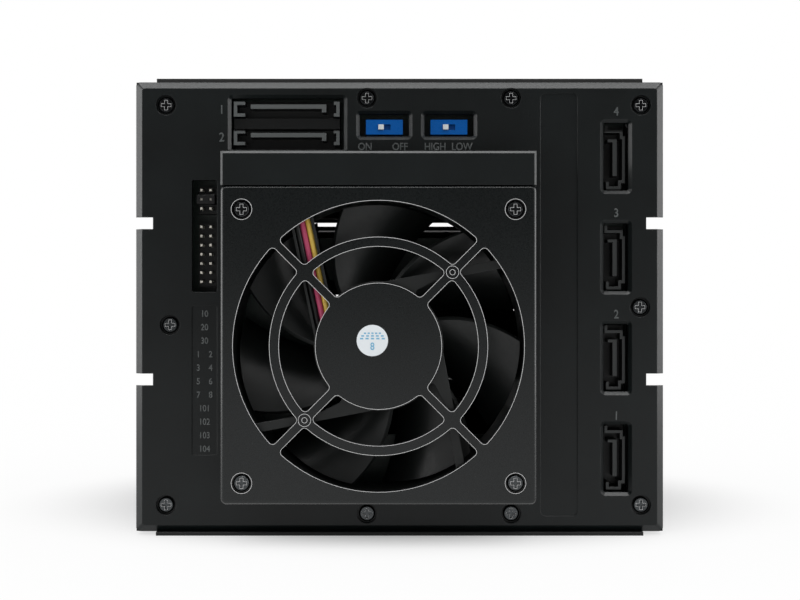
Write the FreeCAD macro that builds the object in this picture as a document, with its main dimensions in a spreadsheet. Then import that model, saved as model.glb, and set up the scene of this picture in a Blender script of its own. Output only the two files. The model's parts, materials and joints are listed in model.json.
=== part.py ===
"""Hot swap drive cage: four drive trays in a three bay housing, with an 80 mm fan behind.

Millimetres.  X is right as seen from behind, +Y is the tray side, +Z is up, and the
origin is the middle of the footprint.  SIZES holds the driving dimensions, PLACES the
ones worked out from them, and every object below is bound to them by expressions.
"""

import math
import os
import re

import FreeCAD
import Part
import Sketcher
from FreeCAD import Rotation, Vector

BAYS = (1, 2, 3, 4)
SIDES = {"left": -1, "right": 1}

SIZES = {
    # Whole cage
    "body_width": 146, "body_height": 126.4, "body_depth": 180,
    "tower_depth": 26, "bezel_depth": 12, "lever_proud": 6,
    "bezel_lip": 1.2, "lip_wrap": 0.5, "bezel_corner": 2, "bezel_chamfer": 1,
    "lug_thick": 2.2, "lug_half": 4, "lug_reach": 8,
    "bay_pitch": 27.8, "drive_width": 101.6, "drive_length": 147, "drive_gap": 22.6,
    "drive_clear": 2, "drive_hole": 28.5, "drive_hole_pitch": 101.6, "drive_hole_rise": 7.45,
    "drive_hole_radius": 1.8, "fit": 0.3,
    # Screws: head radius, head height, thread radius and length of each kind
    "pan_head": 2.25, "pan_height": 1.2, "pan_thread": 1.25, "pan_length": 9.5,
    "sunk_head": 2.5, "sunk_height": 0.95, "sunk_thread": 1.25, "sunk_length": 4,
    "lug_head": 2.7, "lug_height": 1.4, "lug_thread": 1.1, "lug_length": 5,
    "small_head": 1.9, "small_height": 1.1, "small_thread": 0.95, "small_length": 4.5,
    "long_head": 2.25, "long_height": 1.2, "long_thread": 1.7,
    "crown": 0.45, "cross_long": 0.6, "cross_short": 0.19, "cross_deep": 0.75,
    "thread_fit": 0.05, "hole_fit": 0.1,
    "screw_inset_left": 8.5, "screw_inset_right": 6.35, "screw_drop": 7.5, "screw_low": 8.5,
    "tab_left": -9, "tab_right": 30.8, "tab_screw_drop": 5.55, "tab_screw_rise": 6.15,
    "cover_screw_rear": 22, "cover_screw_front": 14, "cover_screw_inset": 3.7,
    "board_screw_rise": 9.6, "board_screw_inset": 1.3, "lug_rise": 12, "lug_back": 4,
    # Sheet covers and side frames
    "sheet": 1.0, "cover_inset": 5.7, "tab_width": 12, "tab_drop": 8,
    "side_wall": 2.4, "flange": 2.2, "flange_reach": 13,
    "groove_low": 43.1, "groove_pitch": 43.2, "groove_height": 3.3, "groove_depth": 4.9,
    "groove_relief": 1.7, "groove_wall": 1.8,
    "rail_gap": 4.6, "rail_rib": 2, "rail_clear": 1.9, "rail_stop": 9,
    "board_rib": 2, "board_rib_width": 7.2, "boss_radius": 3, "boss_floor": 1,
    "side_hole": 2.5, "side_hole_low": 10, "side_hole_front": 47.4, "side_hole_pitch": 79.2,
    # Rear panel
    "panel": 2.5, "panel_rim": 1.9, "panel_corner": 1.2, "screw_recess": 1.5,
    "recess_radius": 2.75, "power_left": -46.5, "power_right": -15.4, "power_low": 106.6,
    "power_high": 120.8, "switch_low": 110.3, "switch_high": 116.4, "switch_window": 13.6,
    "led_switch_x": -4.22, "fan_switch_x": 13.67,
    "pin_left": -57.3, "pin_right": -50.4, "pin_low": 67.3, "pin_high": 98.2,
    "data_inset": 13.2, "data_width": 6.85, "data_height": 18.75, "data_drop": 0.2,
    "window_round": 0.5, "window_bevel": 0.95,
    "strip_left": 38.9, "strip_right": 49.1, "strip_low": 5.4, "strip_drop": 4.3,
    "strip_recess": 0.3, "strip_corner": 1.5, "label_low": 22.3, "label_high": 63.4,
    "label_recess": 0.2,
    # Fan tower and cover
    "tower_margin": 1.3, "tower_cap": 11, "seam_rise": 2, "tower_wall": 1.1,
    "tower_corner": 1.5, "tower_fit": 0.2, "seam_gap": 0.1, "seam_chamfer": 0.6,
    "wire_notch": 6, "wire_slot_width": 13, "wire_slot_height": 6,
    "grille": 2.2, "grille_edge": 1.0, "hub_disc": 16.5, "ring_width": 2.45,
    "grille_lip": 0.2, "grille_arm": 2.2, "grille_recess": 2.7, "window_corner": 1.2,
    "gate_proud": 0.35, "gate_radius": 1.65, "gate_dimple": 0.7, "gate_dimple_deep": 0.5,
    # Fan
    "fan_x": -5.5, "fan_z": 53, "fan_size": 80, "fan_depth": 25, "fan_hole_inset": 4.25,
    "fan_hole": 4.3, "fan_wall": 1.7, "fan_waist": 0.5, "fan_flange": 4, "fan_corner": 4,
    "motor_disc": 17, "motor_floor": 2, "strut_width": 2.5, "strut_depth": 3.5,
    "strut_rise": 10.3, "web_slot": 1.1, "channel_width": 6.1, "channel_wall": 0.7,
    "channel_floor": 0.9, "channel_lean": 12, "channel_foot": 13.2,
    "bearing_outer": 3.6, "bearing_bore": 1.6, "bearing_end": 17,
    "hub_radius": 16.6, "hub_wall": 1.5, "hub_start": 3.9, "hub_end": 24, "hub_skin": 0.8,
    "shaft_radius": 1.5, "shaft_boss": 1.8, "tip_clear": 0.9, "blade_thick": 1.2,
    "blade_start": 4.9, "blade_end": 23.9, "blade_taper": 0.08, "blade_lead": 30.4,
    "blade_rake": 0.943, "blade_span": 42, "blade_camber": 2.6, "blade_clock": 10.3,
    "core_start": 3, "core": 11, "core_gap": 2.5, "winding_slot": 1.8, "winding_foot": 6.5,
    "wire_size": 1.45, "wire_pitch": 1.55, "wire_rise": 0.75,
    "plug_x": -27, "plug_rise": 5.8, "plug_width": 9.2, "plug_height": 5, "plug_depth": 7.5,
    "plug_key": 0.8, "plug_key_half": 2, "plug_key_back": 2.5,
    # Backplane
    "board_gap": 12.5, "board": 1.6, "board_inset": 7, "board_low": 4, "board_drop": 4.4,
    "vent_left": -26, "vent_right": 36, "vent_bar": 11.8, "vent_drop": 0.4, "vent_corner": 2,
    "socket_x": -20.7, "socket_width": 43, "socket_depth": 7.8, "socket_height": 5.6,
    "socket_drop": 3, "socket_wall": 1.3, "socket_floor": 1, "tongue": 1.1,
    "tongue_rise": 0.3, "tongue_left": 19.6, "tongue_step": 5, "power_tongue": 20.9,
    "data_tongue": 10.2, "blade_width": 1.2,
    "data_face": 3, "data_deep": 6.5, "data_half": 2.9, "data_reach": 8.9, "data_wall": 0.8,
    "data_top": 7.2, "data_neck": 1.8, "data_shoulder": 5.5, "data_side": 2.4,
    "data_heel": 6.8, "data_foot": 1.3, "data_bottom": 8.5, "data_blade_left": 0.65,
    "data_key": 1.35, "data_key_tall": 0.8, "hook": 1.3, "hook_top": 2.5, "hook_bottom": 2.1,
    "power_face": 1.2, "power_deep": 6.5, "power_middle": 110, "power_pitch": 7.9,
    "power_height": 4.15, "bracket": 0.9, "bracket_left": 0.6, "bracket_arm": 2.2,
    "bracket_right": 1.2, "hook_arm": 0.7, "power_blade_left": 5.3, "power_key": 1,
    "switch_face": 1.6, "switch_half": 5.1, "switch_tall": 4.1, "switch_drop": 0.4,
    "knob_slot": 3.4, "knob_tall": 1.5, "knob_long": 1.5, "knob_deep": 1.6, "knob_fit": 0.05,
    "knob_proud": 0.7,
    "pin_pitch": 2.54, "pin_first": 95.5, "pin_size": 0.64, "pin_block": 5.3, "pin_face": 1.6,
    "pin_shift": 0.22, "cap_face": 0.9, "cap_length": 6, "cap_slack": 0.04,
    # Trays
    "arm": 3, "arm_slack": 0.3, "arm_low": 13.7, "arm_high": 6, "arm_start": 24,
    "runner_half": 2, "runner_reach": 59.5, "runner_slack": 1, "strap": 0.8,
    "strap_inset": 2, "strap_width": 12, "cross_gap": 0.6,
    "front_inset": 7.3, "front_gap": 0.5, "tray_gap": 0.6, "front_wall": 1.6,
    "front_skin": 1.4, "front_plate": 3, "front_corner": 1.5, "front_chamfer": 0.8,
    "slot_margin": 1, "slot_corner": 1, "slot_width": 2.6, "slot_inset_left": 5.7, "slot_inset_right": 31.7,
    "notch_inset": 21, "notch_width": 3, "notch_depth": 1.9, "post_x": 30, "post_drop": 2,
    "post_radius": 2.5, "lever_inset": 29.7, "lever_drop": 4.8, "lever_thick": 5.8,
    "lever_edge": 1.2, "lever_rib": 2.4, "lever_rib_pitch": 5, "lever_rib_deep": 1.5,
    "lever_rib_inset": 14,
    "scoop": 9, "scoop_half": 6, "scoop_deep": 3, "neck": 6, "neck_gap": 4.5,
    "neck_step": 0.4, "pivot_inset": 8.7, "pivot_back": 3.3, "knuckle": 2.9,
    "trunnion": 1.3, "trunnion_length": 2.2, "trunnion_fit": 0.15, "ear": 3.2,
    "ear_thick": 2.7, "ear_margin": 0.6,
    "button_inset": 22.7, "button_half": 5, "button_flange": 1.2, "button_flange_thick": 1.6,
    "button_proud": 2, "button_edge": 0.6, "button_corner": 0.8, "seat_half": 6.5, "seat_thick": 1.6,
    "spring_seat": 8.9, "spring_thick": 0.4, "spring_half": 4, "spring_width": 6,
    "lock_inset": 9.7, "lock_radius": 4, "lock_behind": 6, "lock_proud": 0.6, "cam": 7,
    "cam_thick": 1.5, "cam_half": 1.5, "key_slot": 1, "key_slot_half": 2.6,
    "key_slot_deep": 1.2, "pipe_shift": 2, "pipe_pitch": 4.6, "pipe_drop": 3.3,
    "pipe_over_button": 4.3, "pipe_radius": 1.1, "pipe_behind": 8, "pipe_proud": 0.2,
}

PLACES = {
    "cover_face": "(gate_proud - tower_depth - body_depth - bezel_depth - lever_proud) / 2",
    "rear_face": "cover_face + tower_depth",
    "panel_back": "rear_face + panel",
    "fan_rear": "cover_face + grille",
    "bezel_back": "rear_face + body_depth",
    "bezel_front": "bezel_back + bezel_depth",
    "lever_front": "bezel_front + lever_proud",
    "frame_low": "sheet",
    "frame_high": "body_height - sheet",
    "wall_inner": "body_width / 2 - side_wall",
    "cover_half": "body_width / 2 - cover_inset",
    "board_rib_edge": "wall_inner - board_rib_width",
    "screw_left": "screw_inset_left - body_width / 2",
    "screw_right": "body_width / 2 - screw_inset_right",
    "screw_top": "body_height - screw_drop",
    "tab_screw_top": "body_height - tab_screw_drop",
    "data_x": "body_width / 2 - data_inset",
    "strip_high": "body_height - strip_drop",
    "board_rear": "rear_face + board_gap",
    "board_front": "board_rear + board",
    "board_half": "body_width / 2 - board_inset",
    "board_high": "body_height - board_drop",
    "rail_front": "bezel_back - rail_stop",
    "rail_edge": "arm_outer + rail_clear",
    "tray": "body_height / 2 - 1.5 * bay_pitch",
    "arm_inner": "drive_width / 2 + arm_slack",
    "arm_outer": "arm_inner + arm",
    "plate_front": "bezel_front - front_gap",
    "plate_back": "plate_front - front_plate",
    "drive_rear": "rear_face + drive_gap",
    "shell_back": "drive_rear + drive_length + drive_clear",
    "front_half": "body_width / 2 - front_inset",
    "front_rise": "(bay_pitch - tray_gap) / 2",
    "slot_low": "front_rise - slot_margin",
    "slot_high": "slot_low - slot_width",
    "lever_end": "front_half - lever_inset",
    "lever_low": "front_rise - lever_drop",
    "lever_high": "front_rise - slot_margin",
    "pivot_x": "pivot_inset - front_half",
    "pivot_y": "lever_front - pivot_back",
    "knuckle_low": "slot_high - slot_margin - fit - ear_thick",
    "knuckle_high": "front_rise - ear_margin - fit - ear_thick",
    "button_x": "front_half - button_inset",
    "pipe_rise": "front_rise - pipe_drop",
    "pipe_x": "button_x - pipe_shift",
    "button_rise": "pipe_rise - pipe_over_button",
    "lock_x": "front_half - lock_inset",
    "fan_half": "fan_size / 2",
    "bore_radius": "fan_half - fan_wall",
    "fan_hole_at": "fan_half - fan_hole_inset",
    "tip_radius": "bore_radius - tip_clear",
    "grille_radius": "bore_radius - grille_lip",
    "ring_middle": "(hub_disc + grille_radius) / 2",
    "ring_inner": "ring_middle - ring_width / 2",
    "ring_outer": "ring_middle + ring_width / 2",
    "tower_inner": "fan_half + tower_fit",
    "tower_left": "fan_x - fan_half - tower_margin",
    "tower_right": "fan_x + fan_half + tower_margin",
    "tower_low": "fan_z - fan_half - tower_margin",
    "tower_high": "fan_z + fan_half + tower_cap",
    "seam": "fan_z + fan_half + seam_rise",
    "plug_at": "fan_x + plug_x",
    "plug_height_at": "fan_z + fan_half + plug_rise",
}

# The least length that counts when edges are picked by their places
TINY = 1e-3


def formula(text):
    """Write a size expression with the sheet's own references in it."""
    def reference(match):
        word = match.group(0)
        if word in PLACES:
            return "(" + formula(PLACES[word]) + ")"
        if word in SIZES:
            return "Sizes." + word
        return word
    return re.sub(r"[a-z][a-z_]*[0-9]*", reference, str(text))


doc = FreeCAD.newDocument("HotSwapDriveCage")
sheet = doc.addObject("Spreadsheet::Sheet", "Sizes")
for row, (alias, size) in enumerate(SIZES.items(), start=1):
    sheet.set(f"A{row}", alias.replace("_", " "))
    sheet.set(f"B{row}", str(size))
    sheet.setAlias(f"B{row}", alias)
doc.recompute()


# ---- Helpers: bound objects ------------------------------------------------------------

def number(text):
    """The value that an expression has now, for a sketch's first drawing."""
    return float(sheet.evalExpression(formula(text)))


def bind(item, path, text):
    item.setExpression(path, formula(text))


def place(item, x="0", y="0", z="0"):
    for axis, text in zip("xyz", (x, y, z)):
        bind(item, "Placement.Base." + axis, text)
    return item


def box(name, x, y, z):
    """A block between pairs of places along X, Y and Z."""
    block = doc.addObject("Part::Box", name)
    for size, axis, (low, high) in zip(("Length", "Width", "Height"), "xyz", (x, y, z)):
        bind(block, size, f"({high}) - ({low})")
        bind(block, "Placement.Base." + axis, low)
    return block


def about(middle, half):
    """The pair of places that lie a half size either side of a middle."""
    return f"({middle}) - ({half})", f"({middle}) + ({half})"


def sided(side, inner, outer):
    """The pair of places from inner to outer on one side of the cage."""
    return (inner, outer) if side > 0 else (f"-({outer})", f"-({inner})")


def rod(name, radius, length, start, towards):
    """A cylinder from a start point along a direction."""
    cylinder = doc.addObject("Part::Cylinder", name)
    cylinder.Placement.Rotation = Rotation(Vector(0, 0, 1), Vector(*towards))
    bind(cylinder, "Radius", radius)
    bind(cylinder, "Height", length)
    return place(cylinder, *start)


def cone(name, radius, end_radius, length, start, towards):
    """A taper from a start point along a direction."""
    taper = doc.addObject("Part::Cone", name)
    taper.Placement.Rotation = Rotation(Vector(0, 0, 1), Vector(*towards))
    bind(taper, "Radius1", radius)
    bind(taper, "Radius2", end_radius)
    bind(taper, "Height", length)
    return place(taper, *start)


def fuse(name, pieces):
    whole = doc.addObject("Part::MultiFuse", name)
    whole.Shapes = pieces
    return whole


def cut(name, base, tools):
    result = doc.addObject("Part::Cut", name)
    result.Base = base
    result.Tool = tools[0] if len(tools) == 1 else fuse(name + "_tools", tools)
    return result


def group(name, pieces):
    """Separate solids that share one node."""
    compound = doc.addObject("Part::Compound", name)
    compound.Links = pieces
    return compound


def copy_of(source, name, x="0", y="0", z="0", rotation=Rotation()):
    link = doc.addObject("App::Link", name)
    link.LinkedObject = source
    link.Placement.Rotation = rotation
    return place(link, x, y, z)


# ---- Helpers: bodies and sketches ------------------------------------------------------

PLANE_SIGN = {"XY": 1, "XZ": -1, "YZ": 1}


def new_body(name):
    return doc.addObject("PartDesign::Body", name)


def origin_feature(body, role):
    return next(item for item in body.Origin.OriginFeatures if item.Role == role)


def sketch_at(body, plane, position, name="outline"):
    """A sketch on one of the body's own planes, moved to a position along its axis."""
    sketch = body.newObject("Sketcher::SketchObject", name)
    sketch.AttachmentSupport = (origin_feature(body, plane + "_Plane"), [""])
    sketch.MapMode = "FlatFace"
    bind(sketch, "AttachmentOffset.Base.z", f"{PLANE_SIGN[plane]} * ({position})")
    return sketch


def hold(sketch, kind, *where):
    """Add a constraint whose last argument is a bound expression."""
    *geometry, text = where
    index = sketch.addConstraint(Sketcher.Constraint(kind, *geometry, number(text)))
    bind(sketch, f"Constraints[{index}]", text)


def hold_point(sketch, line, end, x, y):
    hold(sketch, "DistanceX", -1, 1, line, end, x)
    hold(sketch, "DistanceY", -1, 1, line, end, y)


def polygon(sketch, points):
    """A closed outline of straight lines through bound points."""
    corners = [Vector(number(x), number(y), 0) for x, y in points]
    first = sketch.GeometryCount
    for index, corner in enumerate(corners):
        after = corners[(index + 1) % len(corners)]
        sketch.addGeometry(Part.LineSegment(corner, after), False)
    for index, (x, y) in enumerate(points):
        before = first + (index - 1) % len(points)
        sketch.addConstraint(Sketcher.Constraint("Coincident", before, 2, first + index, 1))
        hold_point(sketch, first + index, 1, x, y)


def rectangle(sketch, across, up):
    left, right = across
    low, high = up
    polygon(sketch, [(left, low), (right, low), (right, high), (left, high)])


def rounded(sketch, across, up, radius):
    """A rectangle with four equal round corners."""
    left, right = (number(text) for text in across)
    low, high = (number(text) for text in up)
    bend = number(radius)
    first = sketch.GeometryCount
    corners = [(right, low, -90), (right, high, 0), (left, high, 90), (left, low, 180)]
    middles = [
        Vector(x - math.copysign(bend, x - (left + right) / 2),
               y - math.copysign(bend, y - (low + high) / 2), 0)
        for x, y, _ in corners
    ]
    for index, (middle, (_, _, turn)) in enumerate(zip(middles, corners)):
        start, end = math.radians(turn), math.radians(turn + 90)
        circle = Part.Circle(middle, Vector(0, 0, 1), bend)
        out = Vector(math.cos(start), math.sin(start), 0) * bend
        before = middles[index - 1]
        sketch.addGeometry(Part.LineSegment(before + out, middle + out), False)
        sketch.addGeometry(Part.ArcOfCircle(circle, start, end), False)
    for index in range(4):
        line = first + 2 * index
        arc = line + 1
        following = first + (2 * index + 2) % 8
        direction = "Horizontal" if index % 2 == 0 else "Vertical"
        sketch.addConstraint(Sketcher.Constraint("Tangent", line, 2, arc, 1))
        sketch.addConstraint(Sketcher.Constraint("Tangent", arc, 2, following, 1))
        sketch.addConstraint(Sketcher.Constraint(direction, line))
        if index:
            sketch.addConstraint(Sketcher.Constraint("Equal", first + 1, arc))
    hold(sketch, "Radius", first + 1, radius)
    hold(sketch, "DistanceY", -1, 1, first, 1, up[0])
    hold(sketch, "DistanceX", -1, 1, first + 2, 1, across[1])
    hold(sketch, "DistanceY", -1, 1, first + 4, 1, up[1])
    hold(sketch, "DistanceX", -1, 1, first + 6, 1, across[0])


def disc(sketch, x, y, radius):
    circle = Part.Circle(Vector(number(x), number(y), 0), Vector(0, 0, 1), number(radius))
    index = sketch.addGeometry(circle, False)
    hold(sketch, "Radius", index, radius)
    hold_point(sketch, index, 3, x, y)


def capsule(sketch, start, end, radius):
    """A straight slot with round ends, given by the middles of its ends."""
    run = [f"(({last}) - ({first}))" for first, last in zip(start, end)]
    length = f"sqrt({run[0]} * {run[0]} + {run[1]} * {run[1]})"
    across = (f"{radius} * {run[1]} / {length}", f"-{radius} * {run[0]} / {length}")
    corners = [
        tuple(f"({at}) + {sign} * ({step})" for at, step in zip(middle, across))
        for middle, sign in ((start, 1), (end, 1), (end, -1), (start, -1))
    ]
    points = [Vector(number(x), number(y), 0) for x, y in corners]
    ahead = (points[1] - points[0]).normalize() * number(radius)
    first = sketch.GeometryCount
    sketch.addGeometry(Part.LineSegment(points[0], points[1]), False)
    sketch.addGeometry(Part.LineSegment(points[2], points[3]), False)
    for line, (before, after), out in ((first, points[1:3], ahead),
                                       (first + 1, (points[3], points[0]), -ahead)):
        tip = (before + after) / 2 + out
        arc = sketch.addGeometry(Part.Arc(before, tip, after), False)
        ends = (1, 2) if sketch.getPoint(arc, 1).isEqual(before, TINY) else (2, 1)
        other = first + 1 if line == first else first
        sketch.addConstraint(Sketcher.Constraint("Tangent", line, 2, arc, ends[0]))
        sketch.addConstraint(Sketcher.Constraint("Coincident", arc, ends[1], other, 1))
    for line, end_of_line, corner in ((first, 1, 0), (first, 2, 1), (first + 1, 1, 2),
                                      (first + 1, 2, 3)):
        hold_point(sketch, line, end_of_line, *corners[corner])


def pad(body, sketch, length, towards=1, name="Pad"):
    """Grow the sketch by a length towards +axis or -axis of its plane."""
    feature = body.newObject("PartDesign::Pad", name)
    feature.Profile = sketch
    feature.Reversed = PLANE_SIGN[plane_of(sketch)] != towards
    bind(feature, "Length", length)
    return feature


def pocket(body, sketch, length, towards=1, name="Pocket"):
    """Cut the sketch away by a length towards +axis or -axis of its plane."""
    feature = body.newObject("PartDesign::Pocket", name)
    feature.Profile = sketch
    feature.Reversed = PLANE_SIGN[plane_of(sketch)] == towards
    bind(feature, "Length", length)
    return feature


def plane_of(sketch):
    return sketch.AttachmentSupport[0][0].Role[:2]


def edges_where(feature, test):
    """Names of the edges whose bounding box passes a test."""
    doc.recompute()
    edges = feature.Shape.Edges
    return [f"Edge{index}" for index, edge in enumerate(edges, start=1) if test(edge)]


def dress(body, kind, feature, size, test, name=None):
    """Chamfer or fillet the edges of a feature that pass a test."""
    edges = edges_where(feature, test)
    dressed = body.newObject("PartDesign::" + kind, name or kind)
    dressed.Base = (feature, edges)
    bind(dressed, "Size" if kind == "Chamfer" else "Radius", size)
    return dressed


def lies_at(edge, axis, position):
    """Whether an edge lies in the plane where an axis has this value."""
    bounds = edge.BoundBox
    low = getattr(bounds, axis + "Min")
    high = getattr(bounds, axis + "Max")
    return abs(low - position) < 1e-4 and abs(high - position) < 1e-4


def runs_along(edge, axis):
    """Whether an edge is a straight line along this axis."""
    lengths = {name: getattr(edge.BoundBox, name + "Length") for name in "XYZ"}
    return lengths.pop(axis) > 1e-3 and max(lengths.values()) < 1e-4


def pattern(body, kind, feature, count, reach, axis, name=None):
    """Repeat a feature about or along one of the body's axes."""
    repeated = body.newObject("PartDesign::" + kind, name or kind)
    repeated.Originals = [feature]
    if kind == "PolarPattern":
        repeated.Axis = (origin_feature(body, axis + "_Axis"), [""])
        repeated.Angle = reach
    else:
        repeated.Direction = (origin_feature(body, axis + "_Axis"), [""])
        bind(repeated, "Length", reach)
    repeated.Occurrences = count
    body.Tip = repeated
    return repeated


NODES = []


def node(name, item):
    """Name a finished sub-part, which is written to its own file."""
    item.Label = name
    NODES.append(item)
    return item


# ---- Screws ----------------------------------------------------------------------------

def screw(kind, length=None):
    """A pan-head screw of a kind, standing at the origin with its top face at Z = 0."""
    head, deep, thread = f"{kind}_head", f"{kind}_height", f"{kind}_thread"
    length = length or f"{kind}_length"
    solid = [
        rod(kind + "_rim", head, f"{deep} - crown", ("0", "0", f"-{deep}"), (0, 0, 1)),
        cone(kind + "_crown", head, f"{head} - crown", "crown", ("0", "0", "-crown"),
             (0, 0, 1)),
        rod(kind + "_stem", thread, f"{length} - {deep}", ("0", "0", f"-({length})"),
            (0, 0, 1)),
    ]
    return cut(kind + "_screw", fuse(kind + "_blank", solid), cross_slots(kind))


def countersunk_screw(kind):
    head, deep, thread = f"{kind}_head", f"{kind}_height", f"{kind}_thread"
    solid = [
        cone(kind + "_taper", head, thread, deep, ("0", "0", "0"), (0, 0, -1)),
        rod(kind + "_stem", thread, f"{kind}_length - {deep}", ("0", "0", f"-{deep}"),
            (0, 0, -1)),
    ]
    return cut(kind + "_screw", fuse(kind + "_blank", solid), cross_slots(kind))


def cross_slots(kind):
    """The two crossed slots of a screw head."""
    long, short = f"cross_long * {kind}_head", f"cross_short * {kind}_head"
    deep = (f"-cross_deep * {kind}_height", "1")
    return [box(kind + "_slot_a", about("0", long), about("0", short), deep),
            box(kind + "_slot_b", about("0", short), about("0", long), deep)]


TO_REAR = Rotation(Vector(0, 0, 1), Vector(0, -1, 0))
TO_FRONT = Rotation(Vector(0, 0, 1), Vector(0, 1, 0))


# ---- Housing ---------------------------------------------------------------------------

GROOVES = ("groove_low", "groove_low + groove_pitch")
SIDE_SCREWS = {
    "left": (("screw_left", "screw_top"), ("screw_left + 1.1", "body_height / 2 - 5"),
             ("screw_left", "screw_low")),
    "right": (("screw_right", "screw_top"), ("screw_right - 0.25", "body_height / 2 - 0.1"),
              ("screw_right", "screw_low")),
}
TOP_TABS = (("tab_left", "tab_screw_top"), ("tab_right", "tab_screw_top"))
BOTTOM_TABS = (("tab_left", "tab_screw_rise"), ("tab_right", "tab_screw_rise"))
REAR_SCREWS = (*SIDE_SCREWS["left"], *SIDE_SCREWS["right"], *TOP_TABS, *BOTTOM_TABS)
BOARD_SCREW_X = "board_half - board_screw_inset"
BOARD_SCREW_HEIGHTS = (
    "tray - board_screw_rise",
    "tray + bay_pitch + board_screw_rise",
    "tray + 3 * bay_pitch + board_screw_rise",
)
COVER_SCREW_X = "cover_half - cover_screw_inset"
COVER_SCREW_PLACES = ("rear_face + cover_screw_rear", "(rear_face + bezel_back) / 2",
                      "bezel_back - cover_screw_front")
LUG_HEIGHTS = ("lug_rise", "body_height - lug_rise")
LUG_Y = "bezel_back - lug_back"


def bay_height(bay):
    return f"tray + {bay - 1} * bay_pitch"


def side_frame(side_name):
    """A side wall with its flanges, drive rails, mounting grooves and screw bosses."""
    side = SIDES[side_name]
    wall = sided(side, "wall_inner", "body_width / 2")
    depth = ("panel_back", "bezel_back")
    full = ("frame_low", "frame_high")
    reach = sided(side, "body_width / 2 - flange_reach", "body_width / 2")
    solid = [
        box("wall", wall, depth, full),
        box("top_flange", reach, depth, ("frame_high - flange", "frame_high")),
        box("bottom_flange", reach, depth, ("frame_low", "frame_low + flange")),
        box("board_rib", sided(side, "board_rib_edge", "wall_inner"),
            ("board_rear - board_rib", "board_rear"), full),
    ]
    rail_reach = sided(side, "rail_edge", "wall_inner")
    rail_depth = ("board_front + fit", "rail_front")
    for bay in BAYS:
        for sign in (1, -1):
            middle = f"{bay_height(bay)} + {sign} * (rail_gap + rail_rib) / 2"
            solid.append(box("rail", rail_reach, rail_depth, about(middle, "rail_rib / 2")))
    channel = "body_width / 2 - groove_depth"
    groove_half = "groove_height / 2 + groove_relief"
    hollow = []
    for height in GROOVES:
        solid.append(box("channel", sided(side, channel + " - groove_wall", "wall_inner"),
                         depth, about(height, groove_half + " + groove_wall")))
        hollow.append(box("groove", sided(side, channel, "body_width / 2 + 1"),
                          ("panel_back - 1", "bezel_back + 1"),
                          about(height, groove_half)))
    for x, z in SIDE_SCREWS[side_name]:
        solid.append(rod("boss", "boss_radius", "board_gap - panel",
                         (x, "panel_back", z), (0, 1, 0)))
        hollow.append(rod("boss_hole", "pan_thread + thread_fit",
                          "board_gap - panel - boss_floor",
                          (x, "panel_back", z), (0, 1, 0)))
    for height in BOARD_SCREW_HEIGHTS:
        hollow.append(rod("board_hole", "small_thread + thread_fit", "board_rib",
                          (f"{side} * ({BOARD_SCREW_X})", "board_rear - board_rib", height),
                          (0, 1, 0)))
    for y in COVER_SCREW_PLACES:
        hollow.append(rod("cover_hole", "sunk_thread + thread_fit", "body_height",
                          (f"{side} * ({COVER_SCREW_X})", y, "0"), (0, 0, 1)))
    outer = f"{side} * body_width / 2"
    for height in ("side_hole_low", "side_hole_low + 2 * groove_pitch"):
        for step in (0, 1):
            y = f"bezel_back - side_hole_front - {step} * side_hole_pitch"
            hollow.append(rod("side_hole", "side_hole / 2", "side_wall + 1",
                              (outer, y, height), (-side, 0, 0)))
    for height in LUG_HEIGHTS:
        hollow.append(cone("lug_sink", "lug_head + hole_fit", "lug_thread + hole_fit",
                           "lug_height + hole_fit", (outer, LUG_Y, height), (-side, 0, 0)))
        hollow.append(rod("lug_hole", "lug_thread + hole_fit", "side_wall + 1",
                          (outer, LUG_Y, height), (-side, 0, 0)))
    blank = fuse(side_name + "_frame_blank", solid)
    return node(side_name + "_side_frame", cut(side_name + "_frame", blank, hollow))


def sheet_cover(name, outer, inner, tabs, tab_end):
    """A flat sheet cover with two folded tabs for the rear panel's screws."""
    across = about("0", "cover_half")
    low, high = (inner, outer) if name == "top" else (outer, inner)
    solid = [box("sheet", across, ("rear_face", "bezel_back"), (low, high))]
    tab_low, tab_high = (tab_end, inner) if name == "top" else (inner, tab_end)
    holes = []
    for x, z in tabs:
        solid.append(box("tab", about(x, "tab_width / 2"),
                         ("panel_back", "panel_back + sheet"), (tab_low, tab_high)))
        holes.append(rod("tab_hole", "pan_thread + thread_fit", "sheet",
                         (x, "panel_back", z), (0, 1, 0)))
    into = -1 if name == "top" else 1
    for side in SIDES.values():
        for y in COVER_SCREW_PLACES:
            holes.append(cone("sink", "sunk_head + hole_fit", "sunk_thread + hole_fit",
                              "sheet", (f"{side} * ({COVER_SCREW_X})", y, outer),
                              (0, 0, into)))
    node(name + "_cover", cut(name + "_sheet", fuse(name + "_blank", solid), holes))


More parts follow.
